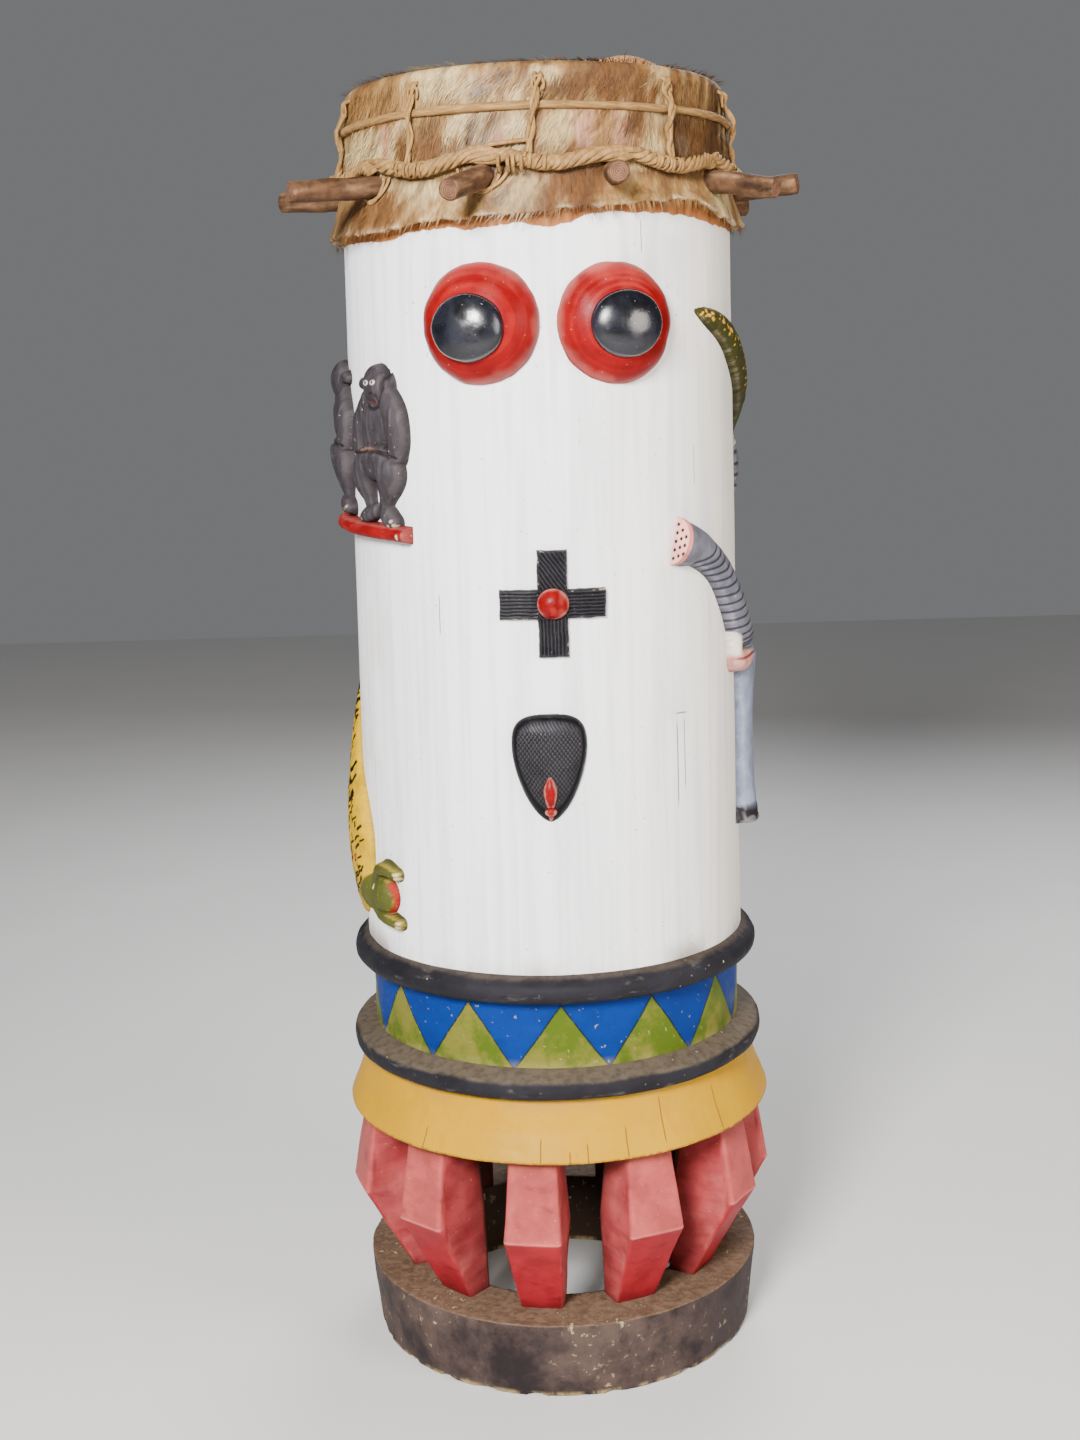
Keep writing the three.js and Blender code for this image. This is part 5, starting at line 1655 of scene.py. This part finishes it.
def lacing_rope(cane):
    """Twisted strips of cane that spread over the pegs, with coils between and strips under some."""
    rng = np.random.default_rng(71)
    shape = Shape()
    angle = np.linspace(-180, 180, 480, endpoint=False)
    turn = np.radians(angle)
    outward = around(turn, 1.0, 0.0)
    peg = near_peg(angle, 9)
    ring = hide_outer(rope_level(angle)) + ROPE_RADIUS
    strands = 5
    twists = 31
    for strand in range(strands):
        even = 2 * math.pi * strand / strands + twists * turn
        phase = even + 1.4 * np.sin(7 * turn) + 0.9 * np.sin(13 * turn)
        side = (strand - (strands - 1) / 2) / ((strands - 1) / 2)
        offset = 0.0050 * (1 - 0.75 * peg)
        high = offset * np.sin(phase) + peg * (0.0062 * side + 0.001)
        out = offset * np.cos(phase) + peg * 0.0005 * (1 - abs(side))
        path = around(turn, ring - 0.0005, rope_level(angle)) + high[:, None] * UP + out[:, None] * outward
        path = path + 0.0005 * noise(path, 0.012, 611 + strand, 2)[:, None] * UP
        swept(shape, path, outward, 0.0036 - 0.0004 * peg, 0.0019, 7, cane_tint(rng, cane), closed=True)
    for index in range(PEG_COUNT):
        centre = PEG_FIRST_ANGLE + index * PEG_SPACING
        begin = centre + rng.uniform(10, 15)
        coil_angle = np.linspace(begin, begin + rng.uniform(6, 11), 220)
        coil_turn = np.radians(coil_angle)
        coils = 2 * math.pi * (coil_angle - centre) / rng.uniform(1.2, 1.9) + 1.5 * np.sin(coil_angle * 1.7)
        out = around(coil_turn, 1.0, 0.0)
        level = rope_level(coil_angle)
        path = around(coil_turn, hide_outer(level) + ROPE_RADIUS, level)
        spin = np.cos(coils)[:, None] * out + np.sin(coils)[:, None] * UP
        swept(shape, path + 0.0074 * spin, spin, 0.0021, 0.0010, 6, cane_tint(rng, cane))
        for drop, reach in LOW_STRIPS if index in TIED_UNDER else ():
            low_angle = np.linspace(centre - reach, centre + reach, 40)
            share = np.cos(np.linspace(-math.pi / 2, math.pi / 2, 40)) ** 0.6
            under = PEG_LEVEL - PEG_RADIUS - drop
            level = ROPE_LEVEL - 0.002 + (under - ROPE_LEVEL) * share
            low_turn = np.radians(low_angle)
            path = around(low_turn, hide_outer(level) + 0.0035 + 0.002 * share, level)
            swept(shape, path, around(low_turn, 1.0, 0.0), 0.0019, 0.0013, 6, cane_tint(rng, cane))
    plaited_strip(shape, rng, cane)
    look = cane_finish("rope_cane", (150, 150, 90))
    shape.piece("cane_lacing", look, "split_cane", "lacing_rope")


def plaited_strip(shape, rng, cane):
    """A short flat ladder of cane above the rope, beside the front peg."""
    left, right = PLAIT_ANGLES
    angles = np.linspace(left - 2, right, 24)
    turn = np.radians(angles)
    out = around(turn, 1.0, 0.0)
    top = ROPE_LEVEL + 0.021 + 0.003 * (angles - left) / (right - left)
    flat = hide_outer(ROPE_LEVEL)
    swept(shape, around(turn, flat + 0.004, top), out, 0.0024, 0.0016, 6, cane_tint(rng, cane))
    end = np.radians(right)
    levels = np.linspace(ROPE_LEVEL - 0.004, ROPE_LEVEL + 0.024, 12)
    path = around(np.full(12, end), flat + 0.0055, levels)
    swept(shape, path, around(np.full(12, end), 1.0, 0.0), 0.0034, 0.0014, 6, cane_tint(rng, cane))
    for place in (-9.3, -6.9, -5.6, -3.6):
        spot = np.full(10, math.radians(place))
        levels = np.linspace(ROPE_LEVEL - 0.009, ROPE_LEVEL + 0.011, 10)
        bow = 0.009 * np.sin(np.linspace(0, math.pi, 10))
        path = around(spot, flat + 0.009 + bow, levels)
        swept(shape, path, around(spot, 1.0, 0.0), 0.0020, 0.0010, 6, cane_tint(rng, cane))


def cane_hoop(cane):
    """The split cane hoop, slightly uneven, lying round the hide."""
    turn = np.radians(np.linspace(-180, 180, 360, endpoint=False))
    path = around(turn, hide_outer(HOOP_LEVEL) + HOOP_PRESSED, HOOP_LEVEL)
    path[:, 2] += 1.1 * MM * noise(path, 0.09, 621, 2)
    thickness = HOOP_RADIUS * (0.95 + 0.07 * noise(path, 0.03, 623, 2))
    shape = Shape()
    tint = np.repeat(0.9 + 0.12 * noise(path, 0.1, 627, 2)[:, None], 12, axis=0) * np.array(cane)
    swept(shape, path, around(turn, 1.0, 0.0), thickness, thickness * 0.92, 12, tint, closed=True)
    look = cane_finish("hoop_cane", (60, 60, 420))
    shape.piece("hoop_of_cane", look, "split_cane", "cane_hoop")


def tie(index, cane, look):
    """Two strips of cane twisted together, hooked through the hide, over the hoop, to the rope."""
    rng = np.random.default_rng(80 + index)
    angle = PEG_FIRST_ANGLE + index * PEG_SPACING + TIE_OFFSET
    shift, lean = TIE_POSES[index]
    angle += shift
    bottom = rope_level(angle + lean) + ROPE_RADIUS
    proud = HOOP_PRESSED + HOOP_RADIUS
    laid = [
        (-0.0010, TIE_TOP + 0.006), (0.0050, TIE_TOP + 0.002), (0.0040, TIE_TOP - 0.008),
        (proud + 0.0032, HOOP_LEVEL + 0.0030), (proud + 0.0032, HOOP_LEVEL - 0.0030),
        (0.0050, HOOP_LEVEL - 0.018), (0.0040, (HOOP_LEVEL + bottom) / 2), (0.0060, bottom + 0.002),
        (0.0120, bottom - 0.006),
    ]
    line = spline([(hide_outer(level) + lift, level) for lift, level in laid], 70)
    share = (TIE_TOP - line[:, 1]) / (TIE_TOP - bottom)
    turn = np.radians(angle + lean * share)
    path = around(turn, line[:, 0], line[:, 1])
    outward = around(turn, 1.0, 0.0)
    across = around(turn + math.pi / 2, 1.0, 0.0)
    shape = Shape()
    size = rng.uniform(0.0021, 0.0029)
    pitch = rng.uniform(0.040, 0.075)
    run = np.concatenate([[0], np.cumsum(np.linalg.norm(np.diff(path, axis=0), axis=1))])
    for strand in range(2):
        phase = 2 * math.pi * run / pitch + math.pi * strand
        spread = size * (1 + 0.9 * np.exp(-((run - 0.012) / 0.007) ** 2))
        shift = spread[:, None] * (np.cos(phase)[:, None] * across + 0.45 * np.sin(phase)[:, None] * outward)
        taper = 1 - 0.5 * ramp(run, run[-1] - 0.012, run[-1])
        wide = size * 1.1 * taper
        thick = size * 0.8 * taper
        swept(shape, path + shift, outward, wide, thick, 8, cane_tint(rng, cane), roll=phase)
    loop = np.linspace(-0.25 * math.pi, 1.25 * math.pi, 26)
    ring = around(np.full(26, turn[6]), hide_outer(TIE_TOP) + 0.005, TIE_TOP - 0.006)
    ring = ring + across[6] * (0.0062 * np.cos(loop))[:, None]
    ring[:, 2] += 0.008 * np.sin(loop)
    swept(shape, ring, np.broadcast_to(outward[6], ring.shape), 0.0016, 0.0012, 6, cane_tint(rng, cane))
    shape.piece(f"cane_tie_{index + 1:02d}", look, "split_cane", f"tie_{index + 1:02d}")


def peg(index, look):
    """A rough stick with a cut end that shows its growth rings."""
    share, sideways, droop = PEG_POSES[index]
    turn = math.radians(PEG_FIRST_ANGLE + index * PEG_SPACING)
    lean = turn + math.radians(sideways)
    fall = math.radians(droop)
    direction = np.array([math.sin(lean) * math.cos(fall), -math.cos(lean) * math.cos(fall), -math.sin(fall)])
    start = around(turn, side_radius(PEG_LEVEL), PEG_LEVEL)
    side = unit(np.cross(direction, (0, 0, 1)))
    lift = np.cross(side, direction)
    reach = PEG_REACH * share
    sides = 36
    rows = 35
    along = np.concatenate([np.linspace(-PEG_DEPTH, reach - 0.0015, rows - 1), [reach - 0.0004]])
    thick = np.interp(along, [-PEG_DEPTH, reach], [PEG_RADIUS, PEG_TIP_RADIUS])
    thick[-1] -= 0.0012
    end = np.linspace(1, 0.04, 14)[1:]
    along = np.concatenate([along, np.full(len(end), reach)])
    thick = np.concatenate([thick, (PEG_TIP_RADIUS - 0.0012) * end])
    around_peg = once_round(sides)
    local = np.stack(np.broadcast_arrays(
        np.cos(around_peg)[None] * thick[:, None], np.sin(around_peg)[None] * thick[:, None], along[:, None]
    ), axis=-1)
    bark = noise(local, (0.006, 0.006, 0.03), 700 + index, 3)
    knots = noise(local, (0.014, 0.014, 0.02), 720 + index, 2)
    on_side = (np.arange(len(along)) < rows)[:, None]
    scale = 1 + np.where(on_side, (0.5 * MM * bark + 0.8 * MM * knots) / thick[:, None], 0)
    scale[rows:] = scale[rows - 1]
    local[..., :2] *= scale[..., None]
    local[rows:, :, 2] += 0.35 * MM * noise(local[rows:], 0.004, 740 + index, 2)
    points = start + local[..., :1] * side + local[..., 1:2] * lift + local[..., 2:] * direction
    rings = 0.5 + 0.5 * np.sin(thick[:, None] / MM * 2 * math.pi / 2.3 + 2 * bark)
    colour = layered(
        np.broadcast_to(screen(124, 100, 80), points.shape),
        (screen(158, 132, 108), ramp(bark, 0, 1)),
        (screen(84, 66, 54), ramp(-bark, 0.2, 1) * 0.9),
    )
    cut = blend_colours(np.broadcast_to(screen(158, 128, 106), points.shape), screen(112, 88, 76), rings)
    colour = np.where(on_side[..., None], colour, cut)
    last = len(along) * sides
    centre = start + direction * reach
    shape = Shape()
    points = np.vstack([points.reshape(-1, 3), centre])
    colours = np.vstack([colour.reshape(-1, 3), colour[-1, 0]])
    shape.add(points, grid_faces(len(along), sides), fan(last, sides), colour=colours)
    shape.piece(f"stick_{index + 1:02d}", look, "peg_wood", f"peg_{index + 1:02d}", sharp=50)


# The stage

# The camera's place, and its angles in degrees: down from level, and rolled to the left
CAMERA_PLACE = (-0.01158, -2.19617, 1.1635)
CAMERA_DOWN = 10.09
CAMERA_ROLL = 1.584
CAMERA_LENS = 45.0
SENSOR_SIZE = 36.0
STUDIO_AIR = (0.80, 0.81, 0.83, 1)
STUDIO_AIR_STRENGTH = 0.22


def camera():
    data = bpy.data.cameras.new("photo_camera")
    data.sensor_fit = "VERTICAL"
    data.sensor_height = SENSOR_SIZE
    data.lens = CAMERA_LENS
    result = bpy.data.objects.new("photo_camera", data)
    tilt = Matrix.Rotation(math.radians(90 - CAMERA_DOWN), 4, "X")
    roll = Matrix.Rotation(math.radians(-CAMERA_ROLL), 4, "Z")
    result.matrix_world = Matrix.Translation(CAMERA_PLACE) @ tilt @ roll
    bpy.context.scene.collection.objects.link(result)
    bpy.context.scene.camera = result


def soft_light(name, place, size, power, colour):
    """An area light that faces the middle of the drum."""
    data = bpy.data.lights.new(name, "AREA")
    data.shape = "DISK"
    data.size = size
    data.energy = power
    data.color = colour
    result = bpy.data.objects.new(name, data)
    bpy.context.scene.collection.objects.link(result)
    aim = Matrix.Translation((0, 0, 0.5 * HIDE_TOP)).translation - Matrix.Translation(place).translation
    result.location = place
    result.rotation_euler = aim.to_track_quat("-Z", "Y").to_euler()


def floor(settings):
    """A plain pale floor."""
    half = settings.floor_size / 2
    mesh = bpy.data.meshes.new("floor")
    corners = [(-half, -half, 0), (half, -half, 0), (half, half, 0), (-half, half, 0)]
    mesh.from_pydata(corners, [], [(0, 1, 2, 3)])
    s = Surface("floor_pale")
    grain = s.noise(3)
    look = s.finish(s.mix(grain, (0.62, 0.61, 0.60), (0.66, 0.65, 0.64)), s.span(grain, 0.3, 0.7, 0.6, 0.7))
    mesh.materials.append(look)
    result = bpy.data.objects.new("floor", mesh)
    bpy.context.scene.collection.objects.link(result)


# Settings

def colour_setting(name, description, default):
    return FloatVectorProperty(name=name, description=description, subtype="COLOR", size=3, min=0, max=1,
                               default=default)


class DrumPaintSettings(bpy.types.PropertyGroup):
    """Colours of the painted log"""
    white: colour_setting("White", "Paint of the tall side", (0.88, 0.88, 0.895))
    red: colour_setting("Red", "Paint of the eyes, boss, spindle and perch", screen(156, 30, 38))
    blue: colour_setting("Blue", "Upper teeth of the band", screen(12, 76, 142))
    green: colour_setting("Green", "Lower teeth of the band", screen(110, 126, 48))
    yellow: colour_setting("Yellow", "Paint of the flare", (0.44, 0.225, 0.0))
    ring: colour_setting("Ring", "Dark paint of the two rings", screen(60, 59, 64))


class DrumHideSettings(bpy.types.PropertyGroup):
    """Coat of the drum's hide"""
    hair_count: IntProperty(name="Hairs", description="Number of hair blades", default=36000,
                            min=0, max=60000)
    hair_length: FloatProperty(name="Hair length", description="Usual length of a hair", default=0.016,
                               min=0.002, max=0.05, unit="LENGTH", subtype="DISTANCE")
    hair_width: FloatProperty(name="Hair width", description="Width of a blade at its root", default=0.0009,
                              min=0.0001, max=0.003, unit="LENGTH", subtype="DISTANCE")
    hair_seed: IntProperty(name="Hair seed", description="Start of the hair's random places", default=7)


class DrumLashingSettings(bpy.types.PropertyGroup):
    """Cane of the hoop, rope and ties"""
    cane: colour_setting("Cane", "Colour of split cane", screen(182, 154, 114))


class DrumStageSettings(bpy.types.PropertyGroup):
    """Floor and lights"""
    floor_size: FloatProperty(name="Floor size", description="Side of the square floor", default=14.0,
                              min=1.0, unit="LENGTH", subtype="DISTANCE")
    key_power: FloatProperty(name="Key light", description="Power of the main light in watts", default=340.0,
                             min=0.0, subtype="POWER", unit="POWER")
    fill_power: FloatProperty(name="Fill light", description="Power of the fill light in watts", default=88.0,
                              min=0.0, subtype="POWER", unit="POWER")


# Operators

class DRUM_OT_log(bpy.types.Operator):
    """Build the painted side, hollow, rings, flare, legs and foot ring"""
    bl_idname = "drum.log"
    bl_label = "Log"

    def execute(self, context):
        paint = context.scene.drum_paint
        painted_side(paint)
        log_hollow()
        rings_and_band(paint)
        flare(paint)
        legs()
        foot_ring()
        return {"FINISHED"}


class DRUM_OT_signs(bpy.types.Operator):
    """Build the two eyes, the cross and the mouth"""
    bl_idname = "drum.signs"
    bl_label = "Eyes, cross and mouth"

    def execute(self, context):
        paint = context.scene.drum_paint
        red_look = carved_finish("red_paint", 0.42, (40, 40, 16), 34, 0.4 * MM, 0.35)
        black_look = pupil_finish()
        for name, angle, share, shift in EYES:
            eye(name, angle, share, shift, paint, red_look, black_look)
        cross_carving()
        boss(paint, red_look)
        mouth_carving(paint)
        return {"FINISHED"}


class DRUM_OT_animals(bpy.types.Operator):
    """Build the apes on their perch, the lizard, the snake and the elephant"""
    bl_idname = "drum.animals"
    bl_label = "Animals"

    def execute(self, context):
        look = carved_finish("animal_paint")
        for figure in APES:
            ape(*figure, look)
        perch(context.scene.drum_paint, look)
        lizard(look)
        snake(look)
        elephant(look)
        snout_end(look)
        return {"FINISHED"}


class DRUM_OT_hide(bpy.types.Operator):
    """Build the hide and its coat of hair"""
    bl_idname = "drum.hide"
    bl_label = "Hide"

    def execute(self, context):
        hide_skin()
        hide_hair(context.scene.drum_hide)
        return {"FINISHED"}


class DRUM_OT_lashing(bpy.types.Operator):
    """Build the cane hoop, rope and ties"""
    bl_idname = "drum.lashing"
    bl_label = "Lashing"

    def execute(self, context):
        cane = tuple(context.scene.drum_lashing.cane)
        cane_hoop(cane)
        lacing_rope(cane)
        look = cane_finish("tie_cane", (420, 420, 60))
        for index in range(PEG_COUNT):
            tie(index, cane, look)
        return {"FINISHED"}


class DRUM_OT_pegs(bpy.types.Operator):
    """Build the ten pegs"""
    bl_idname = "drum.pegs"
    bl_label = "Pegs"

    def execute(self, context):
        look = bark_finish()
        for index in range(PEG_COUNT):
            peg(index, look)
        return {"FINISHED"}


class DRUM_OT_stage(bpy.types.Operator):
    """Build the floor, the soft lights and the camera"""
    bl_idname = "drum.stage"
    bl_label = "Stage"

    def execute(self, context):
        settings = context.scene.drum_stage
        floor(settings)
        soft_light("key_light", (-0.9, -3.0, 2.3), 1.0, settings.key_power, (1.0, 0.98, 0.96))
        soft_light("fill_light", (2.4, -2.0, 1.5), 1.6, settings.fill_power, (1.0, 0.93, 0.84))
        soft_light("back_light", (0.6, 2.4, 2.6), 1.8, settings.fill_power, (0.95, 0.97, 1.0))
        world = bpy.data.worlds.new("studio_air")
        world.use_nodes = True
        background = world.node_tree.nodes["Background"]
        background.inputs["Color"].default_value = STUDIO_AIR
        background.inputs["Strength"].default_value = STUDIO_AIR_STRENGTH
        context.scene.world = world
        camera()
        return {"FINISHED"}


class DRUM_PT_panel(bpy.types.Panel):
    """The drum's settings and its operators"""
    bl_idname = "DRUM_PT_panel"
    bl_label = "Ceremonial drum"
    bl_space_type = "VIEW_3D"
    bl_region_type = "UI"
    bl_category = "Drum"

    def draw(self, context):
        for group in GROUPS:
            settings = getattr(context.scene, group)
            box = self.layout.box()
            for name in settings.bl_rna.properties.keys():
                if name not in ("rna_type", "name"):
                    box.prop(settings, name)
        for operator in OPERATORS:
            self.layout.operator(operator.bl_idname)


GROUPS = {
    "drum_paint": DrumPaintSettings,
    "drum_hide": DrumHideSettings,
    "drum_lashing": DrumLashingSettings,
    "drum_stage": DrumStageSettings,
}
OPERATORS = (DRUM_OT_log, DRUM_OT_signs, DRUM_OT_animals, DRUM_OT_hide, DRUM_OT_lashing, DRUM_OT_pegs,
             DRUM_OT_stage)


def register():
    for group in GROUPS.values():
        bpy.utils.register_class(group)
    for operator in OPERATORS:
        bpy.utils.register_class(operator)
    bpy.utils.register_class(DRUM_PT_panel)
    for name, group in GROUPS.items():
        setattr(bpy.types.Scene, name, PointerProperty(type=group))


def unregister():
    for name in GROUPS:
        delattr(bpy.types.Scene, name)
    bpy.utils.unregister_class(DRUM_PT_panel)
    for operator in reversed(OPERATORS):
        bpy.utils.unregister_class(operator)
    for group in reversed(list(GROUPS.values())):
        bpy.utils.unregister_class(group)


def main():
    register()
    bpy.ops.drum.log()
    bpy.ops.drum.signs()
    bpy.ops.drum.animals()
    bpy.ops.drum.hide()
    bpy.ops.drum.lashing()
    bpy.ops.drum.pegs()
    bpy.ops.drum.stage()


if __name__ == "__main__":
    main()
